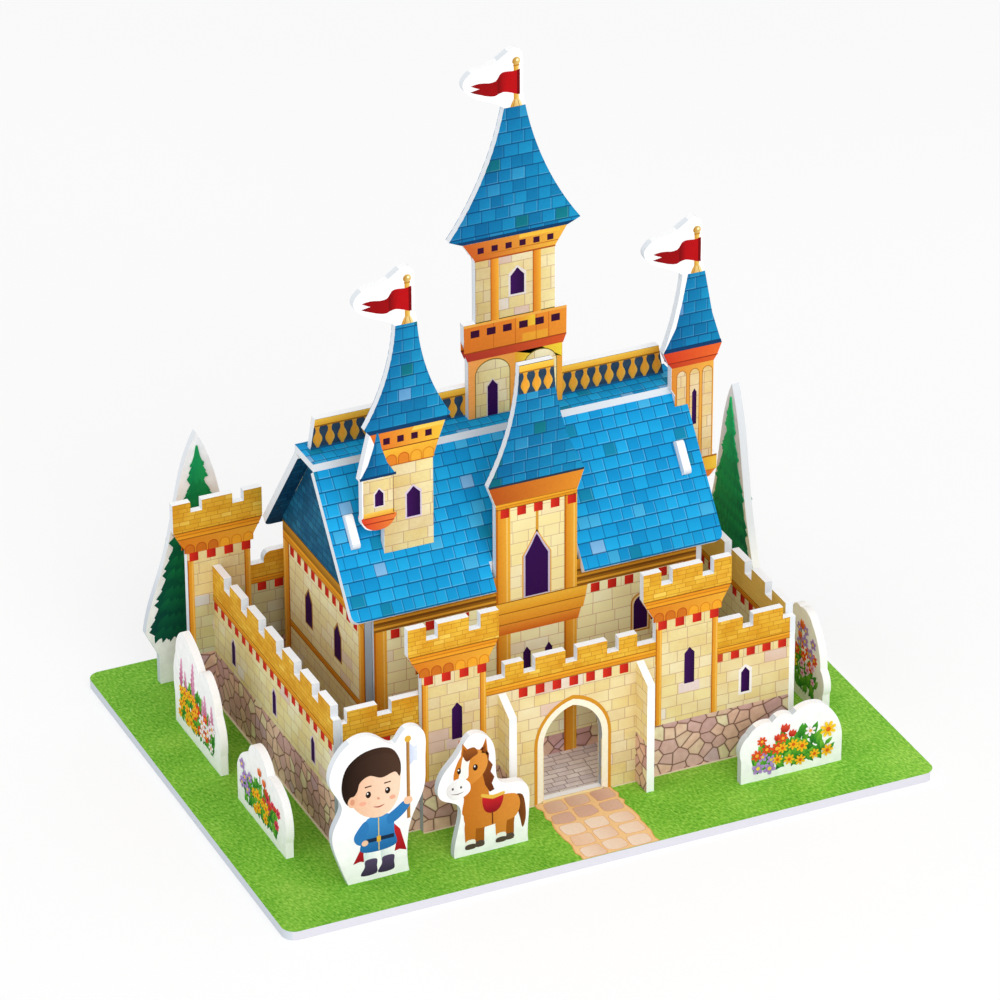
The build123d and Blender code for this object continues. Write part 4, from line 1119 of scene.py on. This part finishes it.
turret.band(73.6, 85.6, 87.5, 93.5, fade("#EFA02A", "#F9CC44", 76.0, 84.0), 5)
turret.band(73.6, 85.6, 92.9, 93.5, "#B8701E", 6)
turret.shape([(74.4, 87.6), (85.2, 87.6), (82.8, 85.0), (79.6, 84.2), (76.6, 85.0)],
             fade("#D9571E", "#EE8A30", 75.0, 84.0), 5)
turret.on_board("right_turret", "front", "back")

# Lawn: court paving, path and the pale line round the walls
ground = Print()
ground.band(-COURT_HALF, COURT_HALF, -54.0, 60.3, WHITE, 1, "paving")
dice = Random(12)
path_half = 15.2
path_middle = 0.9
path_front = -97.3
path_back = -57.2
path_long = path_back - path_front


def along_path(v, margin=0.0):
    """A place up the path, held between its two ends."""
    return min(max(v, path_front + margin), path_back - margin)


path_steps = 16
edge_left = []
edge_right = []
for step in range(path_steps + 1):
    v = path_front + path_long * step / path_steps
    edge_left.append((path_middle - path_half + dice.uniform(-0.7, 0.7), v))
    edge_right.append((path_middle + path_half + dice.uniform(-0.7, 0.7), v))
for edge, ink, level in ((0.0, "#E9A862", 2), (0.4, "#F8CE94", 3)):
    outline = [(u - edge, v) for u, v in edge_right] + [(u + edge, v) for u, v in edge_left[::-1]]
    ground.shape(outline, ink, level)
rows = 5
corner_count = 10
roundness = 0.55
rim_size = 1.04
near_tones = (("#F3D4B8", "#F6DCC4", "#EFCBB0"), ("#F0C8A8", "#F8E2CC"))
far_tones = (("#E2BCA6", "#DDB4A2", "#E8C6AE"), ("#D5A892", "#DCB49C"))
slab_deep = path_long / rows
slab_wide = 2 * (path_half - 0.9) / 3
for row in range(rows):
    for column in range(3):
        middle_u = path_middle + (column - 1) * slab_wide + dice.uniform(-0.5, 0.5)
        middle_v = path_front + (row + 0.5) * slab_deep + dice.uniform(-0.3, 0.3)
        middle_v += 0.8 if column == 1 else 0.0
        half_u = slab_wide / 2 - dice.uniform(0.35, 0.7)
        half_v = slab_deep / 2 - dice.uniform(0.3, 0.6)
        corners = []
        for turn in range(corner_count):
            angle = 2 * pi * (turn + 0.5) / corner_count
            bulge = dice.uniform(0.88, 1.1)
            u = middle_u + half_u * bulge * copysign(abs(cos(angle)) ** roundness, cos(angle))
            v = middle_v + half_v * bulge * copysign(abs(sin(angle)) ** roundness, sin(angle))
            corners.append((u, along_path(v, 0.1)))
        tones, shades = far_tones if row >= rows - 2 else near_tones
        tone = dice.choice(tones)
        shade = dice.choice(shades)
        slab = smooth(corners, 3)
        rim = [(middle_u + rim_size * (u - middle_u), along_path(middle_v + rim_size * (v - middle_v)))
               for u, v in slab]
        ground.shape(rim, "#DF9A5C", 4)
        ground.shape(slab, fade(shade, tone, middle_u - half_u, middle_u + half_u), 5)
for left, right, low, high in (
        (-58.6, -14.6, -57.9, -57.0), (16.2, COURT_HALF, -57.9, -57.0), (-88.0, -58.4, -54.9, -54.0),
        (-91.7, -90.7, -52.0, 60.0), (90.7, 91.7, -55.0, 60.0), (-100.5, 100.5, 63.2, 64.1)):
    ground.band(left, right, low, high, "#E9E2C0", 2)
ground.on_board("base_board", "up")


# Trees

def needle(length, light, dark, lightening):
    """Slender spray of fir needles that hangs from its root."""
    made = Print()
    outline = (
        (0.0, 0.0), (-0.2, -0.34), (-0.24, -0.7), (-0.06, -1.0), (0.04, -0.74), (0.2, -0.62), (0.18, -0.3))
    made.shape([(u * length, v * length) for u, v in outline], fade(dark, light, -length, 0.0, "v", lightening), 1)
    return made


def fir(node, centre, seed, lightening, *facings):
    """Fir tree of ragged tiers that lap over each other, lighter to the top and the right, its inks made
    lighter by the lightening factor as painted light.
    """
    made = Print()
    luck = Random(seed)
    tiers = (
        (22.4, 21.2, "#0A463C", "#126442"), (33.6, 18.8, "#0A503E", "#157045"),
        (45.4, 15.2, "#0B5A40", "#187E48"), (58.6, 12.2, "#0D6844", "#1B8A4C"),
        (73.4, 7.2, "#0F7A4C", "#1F9852"), (83.6, 4.2, "#118A54", "#24A45A"))
    tops = [(low + 1.5, half - 2.4) for low, half, dark, light in tiers[1:]] + [(97.6, 0.3)]
    bark = fade("#5A3A20", "#7E5430", centre - 2.0, centre + 2.0)
    made.band(centre - 2.2, centre + 2.2, 9.0, 24.0, bark, 1)
    for index, ((low, half, dark, light), (top, top_half)) in enumerate(zip(tiers, tops)):
        sides = []
        for share, wide in ((0.3, 0.2), (0.5, 0.46), (0.56, 0.38), (0.78, 0.78), (0.84, 0.68)):
            reach = top_half + (half - top_half) * wide
            sides.append((reach * luck.uniform(0.98, 1.03), top + (low - top) * share))
        hem = []
        teeth = 5 + 2 * round(half / 3.6)
        for tooth in range(1, teeth):
            place = -1.0 + 2.0 * tooth / teeth
            sag = 0.24 * half * (1.0 - place * place)
            fringe = -1.2 if tooth % 2 else 0.9
            u = centre + half * (place + luck.uniform(-0.03, 0.03))
            hem.append((u, low - sag + fringe * luck.uniform(0.7, 1.2)))
        outline = [
            (centre - top_half, top), *[(centre - u, v) for u, v in sides], (centre - half, low + 0.6), *hem,
            (centre + half, low + 0.6), *[(centre + u * 0.98, v) for u, v in reversed(sides)],
            (centre + top_half, top)]
        level = 2 + 5 * index
        made.shape(outline, fade(dark, light, centre - half * 0.9, centre + half * 0.8, lightening=lightening), level)
        spray = needle(0.34 * half + 1.2, light, dark, lightening)
        for row, share in enumerate((0.8, 0.45)):
            reach = (top_half + (half - top_half) * share) * 0.72
            count = max(2, round(reach / 1.1))
            made.row(spray, count, (centre - reach, top + (low - top) * share), 2 * reach / (count - 1),
                     (-0.5, 1.0 / (count - 1)), level + row, 0.012)
    made.on_board(node, *facings)


fir("tree_left", -88.2, 5, 1.0, "front", "back")
# The right tree's inks are made lighter by a factor: painted light against the shade its board stands in.
fir("tree_right", 30.5, 9, 1.9, "left", "right")


# Flowers

def blossom(petals, reach, petal_ink, tip_ink, eye_ink, slim=0.5):
    """Flower seen from the front: ragged ring of petals round an eye."""
    made = Print()
    outline = []
    for petal in range(petals):
        for share, wide in ((0.0, slim), (0.25, 0.86), (0.5, 1.0), (0.75, 0.86)):
            angle = 2 * pi * (petal + share) / petals
            outline.append((reach * wide * cos(angle), reach * wide * sin(angle)))

    def ink(u, v):
        return between(paint(petal_ink), paint(tip_ink), min(1.0, sqrt(u * u + v * v) / reach))
    made.shape(outline, ink, 2)
    made.shape(ring(0.0, 0.0, reach * 0.3, reach * 0.3, 9), eye_ink, 3)
    return made


def leaf(length, width, light, dark):
    """Pointed leaf with a dark rib."""
    made = Print()
    outline = [(0.0, 0.0), (width * 0.5, length * 0.35), (width * 0.36, length * 0.72), (0.0, length),
               (-width * 0.36, length * 0.72), (-width * 0.5, length * 0.35)]
    made.shape(outline, fade(dark, light, 0.0, length, "v"), 1)
    made.shape([(-0.06, 0.1), (0.06, 0.1), (0.0, length * 0.9)], dark, 2)
    return made


def spike(length, light, dark):
    """Tall flower spike with its florets drawn as one ragged outline."""
    made = Print()
    florets = ((0.2, 0.12), (0.26, 0.22), (0.34, 0.12), (0.42, 0.2), (0.5, 0.1), (0.58, 0.17), (0.66, 0.08),
               (0.74, 0.13), (0.82, 0.05), (0.9, 0.08))
    side = [(wide * length * 0.62, share * length) for share, wide in florets]
    outline = [(0.0, 0.0), *side, (0.0, length), *[(-u, v) for u, v in reversed(side)]]
    made.shape(outline, fade(dark, light, 0.0, length, "v"), 2)
    return made


def tulip(reach, light, dark):
    """Cup-shaped blossom on a short stem."""
    made = Print()
    made.band(-0.14, 0.14, -2.4 * reach, 0.0, "#3E8A2C", 1)
    cup = [(-0.55, 0.0), (-0.95, 0.7), (-0.8, 1.7), (-0.4, 1.3), (0.0, 1.9), (0.4, 1.3), (0.8, 1.7),
           (0.95, 0.7), (0.55, 0.0)]
    made.shape([(u * reach, v * reach) for u, v in cup], fade(dark, light, 0.0, 1.8 * reach, "v"), 2)
    return made


def flower_bed(node, facings, start, length, height, seed, kinds):
    """Leaves low down and blossoms over them, inside the card's outline."""
    made = Print()

    def spots(*shares):
        return [(start + length * along, height * up) for along, up in shares]
    low_bed = spots((0.15, 0.09), (0.85, 0.09), (0.83, 0.3), (0.66, 0.46), (0.4, 0.46), (0.17, 0.3))
    made.strew(low_bed, leaf(6.8, 2.8, "#4FA62E", "#1C6428"), 1.7, seed, (0.7, 1.1), 0.8, (0, 3), 2.0)
    made.strew(low_bed, leaf(5.6, 2.6, "#86C83C", "#2A842C"), 2.2, seed + 1, (0.7, 1.1), 1.0, (3, 5), 1.2)
    for index, (flower, gap, low, high, left, right) in enumerate(kinds):
        bed = spots((left, low), (right, low), (right, high), (left, high))
        levels = (6 + 3 * index, 8 + 3 * index)
        shape, swing = flower
        made.strew(bed, shape, gap, seed + 5 + index, (0.8, 1.2), swing, levels, 1.4)
    made.on_board(node, *facings)


# Each flower with how far it may turn to either side
any_way = 3.1
daisy = (blossom(8, 3.2, "#F4A81C", "#FFDC30", "#E06A1C", 0.4), any_way)
small_daisy = (blossom(7, 2.3, "#F4A01C", "#FFC92A", "#D8641A", 0.45), any_way)
ember_flower = (blossom(7, 2.3, "#C8281C", "#F0602C", "#F6B43C"), any_way)
rose = (blossom(6, 2.1, "#B81E3C", "#E8506A", "#8C1430", 0.62), any_way)
violet = (blossom(5, 2.4, "#7C4CA8", "#C4A2E0", "#F0D24A"), any_way)
snow = (blossom(6, 2.7, "#F2D8E2", WHITE, "#F0A848", 0.36), any_way)
pink = (blossom(5, 1.8, "#E08AB0", "#F8CCDE", "#C8507E"), any_way)
pink_spike = (spike(13.0, "#E8A8C8", "#B84A7C"), 0.12)
orange_tulip = (tulip(1.9, "#F08A48", "#D2421E"), 0.3)
red_tulip = (tulip(1.7, "#E8543A", "#B01E1C"), 0.3)
still_tulip = (orange_tulip[0], 0.25)

flower_bed("flowers_front", ("front", "back"), 59.2, 41.0, 29.2, 31, (
    (violet, 3.6, 0.14, 0.34, 0.13, 0.3), (red_tulip, 3.4, 0.5, 0.62, 0.34, 0.52),
    (ember_flower, 4.2, 0.36, 0.6, 0.14, 0.44), (small_daisy, 3.8, 0.16, 0.42, 0.34, 0.6),
    (snow, 5.4, 0.5, 0.7, 0.6, 0.72), (daisy, 6.2, 0.5, 0.68, 0.84, 0.9),
    (small_daisy, 4.6, 0.18, 0.3, 0.66, 0.88)))
flower_bed("flowers_right", ("left", "right"), -47.7, 44.0, 38.3, 47, (
    (ember_flower, 4.6, 0.42, 0.62, 0.14, 0.5), (violet, 4.6, 0.58, 0.8, 0.18, 0.44),
    (orange_tulip, 4.8, 0.66, 0.82, 0.36, 0.62), (daisy, 5.2, 0.2, 0.5, 0.5, 0.86),
    (pink, 4.0, 0.3, 0.5, 0.14, 0.4)))
flower_bed("flowers_front_left", ("left", "right"), -52.5, 45.0, 32.0, 61, (
    (rose, 4.2, 0.26, 0.5, 0.13, 0.36), (red_tulip, 4.4, 0.36, 0.5, 0.2, 0.44),
    (small_daisy, 3.6, 0.16, 0.44, 0.36, 0.66), (still_tulip, 4.8, 0.6, 0.76, 0.36, 0.52),
    (violet, 4.4, 0.3, 0.56, 0.7, 0.9)))
flower_bed("flowers_back_left", ("left", "right"), 9.0, 44.0, 42.2, 83, (
    (pink_spike, 5.0, 0.34, 0.5, 0.5, 0.86), (pink_spike, 5.4, 0.2, 0.36, 0.14, 0.42),
    (ember_flower, 4.4, 0.2, 0.4, 0.3, 0.56), (small_daisy, 3.8, 0.14, 0.44, 0.5, 0.88),
    (snow, 5.0, 0.16, 0.4, 0.14, 0.4)))


# Small horse and figure

class Toy(Print):
    """Print of a toy, drawn from the middle of its board."""

    def __init__(self, middle):
        super().__init__()
        self.middle = middle

    def across(self, first, second, start, end):
        return fade(first, second, self.middle + start, self.middle + end)

    def crisp(self, points, ink, level):
        self.shape([(self.middle + u, v) for u, v in points], ink, level)

    def soft(self, points, ink, level, steps=5):
        self.crisp(smooth(points, steps), ink, level)

    def dot(self, u, v, half_u, half_v, ink, level, count=14):
        self.crisp(ring(u, v, half_u, half_v, count), ink, level)

    def eye(self, u, v, half_u, half_v, ink, shine_u, shine_half):
        """Dark eye with a small light in it."""
        self.dot(u, v, half_u, half_v, ink, 12, 16)
        self.dot(u - shine_u, v + 0.5, shine_half, 0.4, WHITE, 13, 8)


horse = Toy(-41.0)
coat = horse.across("#C2701E", "#DE8E38", -12, 8)
for left in (-6.0, 5.6):
    horse.soft([(left, 3.6), (left + 2.9, 3.6), (left + 3.2, 9.0), (left + 3.4, 14.0), (left - 0.4, 14.0)],
               "#A45C18", 2, 3)
    horse.soft([(left - 0.2, 2.8), (left + 3.0, 2.8), (left + 2.9, 5.0), (left + 0.1, 5.0)], "#5A4A40", 3, 3)
horse.soft([(9.6, 20.6), (12.2, 20.0), (13.3, 15.4), (13.4, 10.0), (12.2, 6.4), (11.2, 10.6), (10.0, 16.0)],
           horse.across("#4A2410", "#84481E", 9, 13), 2)
horse.soft([(-10.6, 18.4), (-9.8, 12.8), (-5.0, 10.4), (3.0, 10.8), (9.0, 11.6), (11.2, 16.2), (9.8, 21.0),
            (4.0, 22.2), (-2.0, 23.0), (-7.0, 24.0)], coat, 4)
horse.soft([(-10.8, 17.0), (-1.4, 17.0), (-0.9, 24.0), (-2.4, 31.0), (-6.0, 35.0), (-11.6, 30.0),
            (-10.6, 24.0)], coat, 5)
for left in (-9.8, 2.2):
    horse.soft([(left, 3.4), (left + 3.1, 3.4), (left + 3.6, 9.0), (left + 3.9, 15.0), (left - 0.4, 15.0)],
               coat, 6, 3)
    horse.soft([(left - 0.1, 4.0), (left + 3.2, 4.0), (left + 3.2, 6.2), (left + 0.1, 6.2)], "#F6F2EA", 7, 3)
    horse.soft([(left - 0.3, 2.6), (left + 3.4, 2.6), (left + 3.2, 4.4), (left, 4.4)], "#54463C", 8, 3)
horse.soft([(-3.4, 22.6), (-2.7, 17.4), (0.2, 15.6), (3.4, 17.2), (4.6, 22.0), (0.6, 21.2)],
           fade("#C8242A", "#8E1420", 22, 16, "v"), 7)
horse.soft([(-3.8, 23.2), (0.4, 21.6), (4.8, 22.2), (4.8, 23.4), (0.6, 22.9), (-3.4, 24.4)], "#E8B84A", 8, 3)
horse.crisp([(0.1, 16.0), (0.6, 16.0), (0.7, 10.9), (0.2, 10.9)], "#6E3416", 8)
horse.crisp([(-3.2, 44.0), (-0.8, 40.6), (-1.0, 38.0), (0.6, 35.6), (-0.3, 33.0), (1.2, 30.4), (0.2, 28.0),
             (1.2, 25.2), (-0.6, 24.6), (-2.4, 28.0), (-3.4, 33.0), (-4.6, 38.0), (-5.6, 42.0)],
            fade("#5E2A12", "#94501F", 24, 44, "v"), 8)
for ear, inner in (
        ([(-4.6, 41.0), (-1.9, 47.2), (-1.2, 40.2)], [(-3.8, 41.6), (-2.3, 45.4), (-1.9, 41.0)]),
        ([(-11.8, 41.0), (-11.0, 47.0), (-7.8, 42.4)], [(-11.0, 41.6), (-10.7, 45.2), (-8.8, 42.4)])):
    horse.crisp(ear, "#C2701E", 8)
    horse.crisp(inner, "#8A4418", 9)
horse.soft([(-7.0, 43.8), (-2.6, 41.6), (-1.4, 37.0), (-3.4, 32.6), (-8.0, 29.4), (-13.0, 29.2),
            (-14.6, 33.6), (-13.4, 38.8), (-11.0, 42.6)], horse.across("#CC7A26", "#E0943E", -13, -3), 9)
horse.soft([(-10.8, 42.0), (-8.2, 42.2), (-8.8, 37.0), (-9.2, 32.6), (-12.6, 32.6), (-11.8, 37.0)],
           "#FAF6EE", 10)
horse.soft([(-8.6, 30.6), (-8.4, 27.0), (-11.8, 24.8), (-15.6, 25.2), (-17.4, 28.4), (-16.0, 31.8),
            (-12.0, 33.2)], horse.across("#E6E2E0", WHITE, -17, -10), 11)
horse.soft([(-10.9, 43.4), (-6.8, 44.6), (-5.2, 42.0), (-7.4, 40.6), (-9.2, 39.4), (-10.4, 40.6)],
           fade("#6A3214", "#98541F", 39, 44, "v"), 12)
for eye_u, eye_half in ((-6.2, 0.95), (-12.5, 0.7)):
    horse.eye(eye_u, 36.2, eye_half, 1.3, "#2A1A12", 0.25, 0.3)
for nostril in (-15.0, -11.8):
    horse.dot(nostril, 29.4, 0.42, 0.55, "#5A4A46", 12, 10)
horse.soft([(-15.8, 27.4), (-13.2, 26.6), (-10.6, 27.4), (-13.2, 27.0)], "#8A7C78", 12, 4)
horse.on_board("horse", "front", "back")

page = Toy(-84.8)
cape = fade("#A01420", "#CE2A2C", 8, 24, "v")
skin = "#F4C6A4"
sleeve = "#2F7ABA"
brass = "#E2B040"
page.crisp([(4.6, 23.0), (8.4, 18.4), (10.8, 9.0), (8.0, 10.0), (5.4, 9.4), (3.6, 14.0)], cape, 2)
page.crisp([(-3.0, 15.0), (-6.6, 14.0), (-9.8, 8.0), (-7.2, 8.6), (-5.4, 8.0), (-3.6, 12.4)], cape, 2)
for left in (-5.0, 1.6):
    page.soft([(left, 5.0), (left + 4.0, 5.0), (left + 4.6, 10.0), (left + 4.8, 14.0), (left - 0.4, 14.0)],
              page.across("#D8E6E6", WHITE, left, left + 4), 3, 3)
    page.soft([(left - 1.8, 2.4), (left + 4.0, 2.4), (left + 4.3, 5.6), (left + 4.2, 8.4), (left, 8.4),
               (left - 0.4, 5.6)], fade("#3A3048", "#544866", 2, 8, "v"), 4, 4)
page.soft([(-6.8, 12.6), (0.0, 11.4), (6.8, 12.8), (6.2, 18.0), (5.0, 25.4), (-4.2, 25.4), (-5.8, 18.0)],
          fade("#1F66A4", "#3C8CCC", 11, 25, "v"), 5)
for left, right, low, high, ink, level in (
        (-6.0, 6.0, 15.6, 17.2, "#1C2E48", 6), (-0.6, 0.9, 15.2, 17.6, brass, 7),
        (0.0, 0.35, 11.8, 25.2, "#E8C868", 6)):
    page.band(page.middle + left, page.middle + right, low, high, ink, level)
page.soft([(-4.4, 24.6), (-6.2, 23.8), (-9.2, 19.4), (-8.6, 16.4), (-6.2, 15.2), (-4.6, 17.0), (-4.4, 19.2),
           (-3.6, 22.0)], sleeve, 7)
page.dot(-5.2, 15.8, 1.3, 1.2, skin, 8)
page.soft([(3.6, 24.8), (4.2, 21.4), (8.6, 23.4), (12.2, 27.4), (10.4, 29.6), (7.0, 27.4)], sleeve, 7)
page.band(page.middle + 11.2, page.middle + 12.4, 22.0, 54.0,
          page.across("#9A662C", "#C89250", 11.2, 12.4), 6)
page.dot(11.8, 54.6, 1.2, 1.3, brass, 7)
page.crisp([(12.4, 52.6), (12.4, 43.6), (14.2, 45.4), (15.4, 44.6), (15.4, 51.4), (14.0, 50.8)],
           page.across("#C8D4EC", "#E6ECF8", 12, 15), 5)
page.dot(11.6, 29.4, 1.7, 1.6, skin, 8)
page.soft([(-13.0, 36.0), (-13.6, 42.0), (-11.6, 48.4), (-6.4, 52.6), (0.4, 53.8), (5.8, 52.0), (8.6, 47.0),
           (8.8, 42.0), (6.4, 38.0), (-6.0, 34.0), (-10.4, 32.4)],
          page.across("#241610", "#4A3226", -12, 8), 8)
page.soft([(-9.6, 36.0), (-9.2, 31.6), (-5.2, 27.2), (0.0, 25.4), (4.6, 27.0), (7.6, 31.4), (8.6, 37.0),
           (8.2, 43.0), (2.0, 46.4), (-6.6, 44.0)], page.across("#F0BE9C", "#FBD8BC", -9, 4), 9)
page.dot(-9.6, 34.0, 1.9, 2.3, "#F0BE9C", 10, 16)
page.dot(-9.7, 34.0, 0.9, 1.3, "#DE9A78", 11, 12)
page.soft([(-11.8, 37.6), (-12.4, 43.0), (-9.0, 48.6), (-2.0, 51.6), (5.4, 50.2), (8.8, 44.4), (8.4, 40.4),
           (6.6, 42.6), (1.6, 41.4), (-3.0, 43.2), (-6.6, 41.4), (-7.8, 38.0), (-9.4, 36.2)],
          page.across("#241610", "#4E362A", -12, 8), 11)
for eye_u in (-3.6, 3.8):
    page.eye(eye_u, 35.6, 1.0, 1.35, "#2E2018", 0.3, 0.32)
    page.crisp([(eye_u - 1.3, 38.6), (eye_u + 1.3, 38.8), (eye_u + 1.2, 39.2), (eye_u - 1.2, 39.1)],
               "#4A3226", 12)
page.dot(-5.8, 32.4, 1.4, 0.9, "#F2AE92", 10, 12)
page.dot(5.6, 32.4, 1.2, 0.9, "#F2AE92", 10, 12)
page.soft([(-0.2, 33.8), (0.8, 33.0), (0.0, 32.7)], "#DE9A78", 12, 3)
page.soft([(-1.8, 30.2), (0.4, 29.4), (2.6, 30.3), (0.4, 29.9)], "#A8483E", 12, 4)
page.on_board("figure", "front", "back")


# Floor, light and camera

floor_look = Finish("floor_paper", 0.9)
floor_colour = floor_look.ramp(floor_look.noise(floor_look.place, 3.0), ((0.3, "#FCFCFC"), (0.7, WHITE)))
floor_look.put(floor_look.shader.inputs["Base Color"], floor_colour)
lightening = floor_look.node("ShaderNodeEmission", None, {"Color": (1, 1, 1, 1), "Strength": 1.0})
share = floor_look.times(floor_look.background_rays(), 0.55)
inputs = {0: share, 1: floor_look.shader.outputs[0], 2: lightening.outputs[0]}
blend = floor_look.node("ShaderNodeMixShader", None, inputs)
floor_look.put(floor_look.tree.nodes["Material Output"].inputs["Surface"], blend.outputs[0])
floor_mesh = bpy.data.meshes.new("floor")
floor_mesh.from_pydata([(-4, -4, 0), (4, -4, 0), (4, 4, 0), (-4, 4, 0)], [], [(0, 1, 2, 3)])
floor_mesh.materials.append(floor_look.material)
new_object("floor", floor_mesh)

# The camera stands where the photograph's camera stood, in millimetres from the middle of the lawn
camera_data = bpy.data.cameras.new("camera")
camera_data.lens = 209.29
camera_data.sensor_width = 36
stand = (-762.1, -1674.1, 1117.7 + LAWN_TOP)
back = Vector((-0.3613, -0.7956, 0.4863)).normalized()
side = Vector((0, 0, 1)).cross(back).normalized()
up = back.cross(side)
roll = radians(-0.246)
right = side * cos(roll) + up * sin(roll)
upward = up * cos(roll) - side * sin(roll)
camera = new_object("camera", camera_data)
camera.matrix_world = Matrix((
    *((right[axis], upward[axis], back[axis], stand[axis] * MM) for axis in range(3)), (0, 0, 0, 1)))
bpy.context.scene.camera = camera


def soft_light(name, place, aim, size, power):
    """Large square lamp that looks at a point."""
    lamp = bpy.data.lights.new(name, "AREA")
    lamp.size = size
    lamp.energy = power
    made = new_object(name, lamp)
    made.location = place
    made.rotation_euler = (Vector(aim) - Vector(place)).to_track_quat("-Z", "Y").to_euler()


soft_light("key", (-0.15, -1.9, 1.25), (0, 0, 0.08), 1.7, 18)
soft_light("fill", (-1.6, -0.6, 1.3), (0, 0, 0.06), 1.4, 3)

world = bpy.data.worlds.new("world")
world.use_nodes = True
room = Nodes(world.node_tree)
studio = world.node_tree.nodes["Background"]
studio.inputs["Color"].default_value = (1, 1, 1, 1)
studio.inputs["Strength"].default_value = 0.8
seen = room.node("ShaderNodeBackground", None, {"Color": (1, 1, 1, 1), "Strength": 1.0})
inputs = {0: room.background_rays(), 1: studio.outputs[0], 2: seen.outputs[0]}
choose = room.node("ShaderNodeMixShader", None, inputs)
room.put(world.node_tree.nodes["World Output"].inputs["Surface"], choose.outputs[0])
bpy.context.scene.world = world
bpy.context.scene.view_settings.view_transform = "Standard"
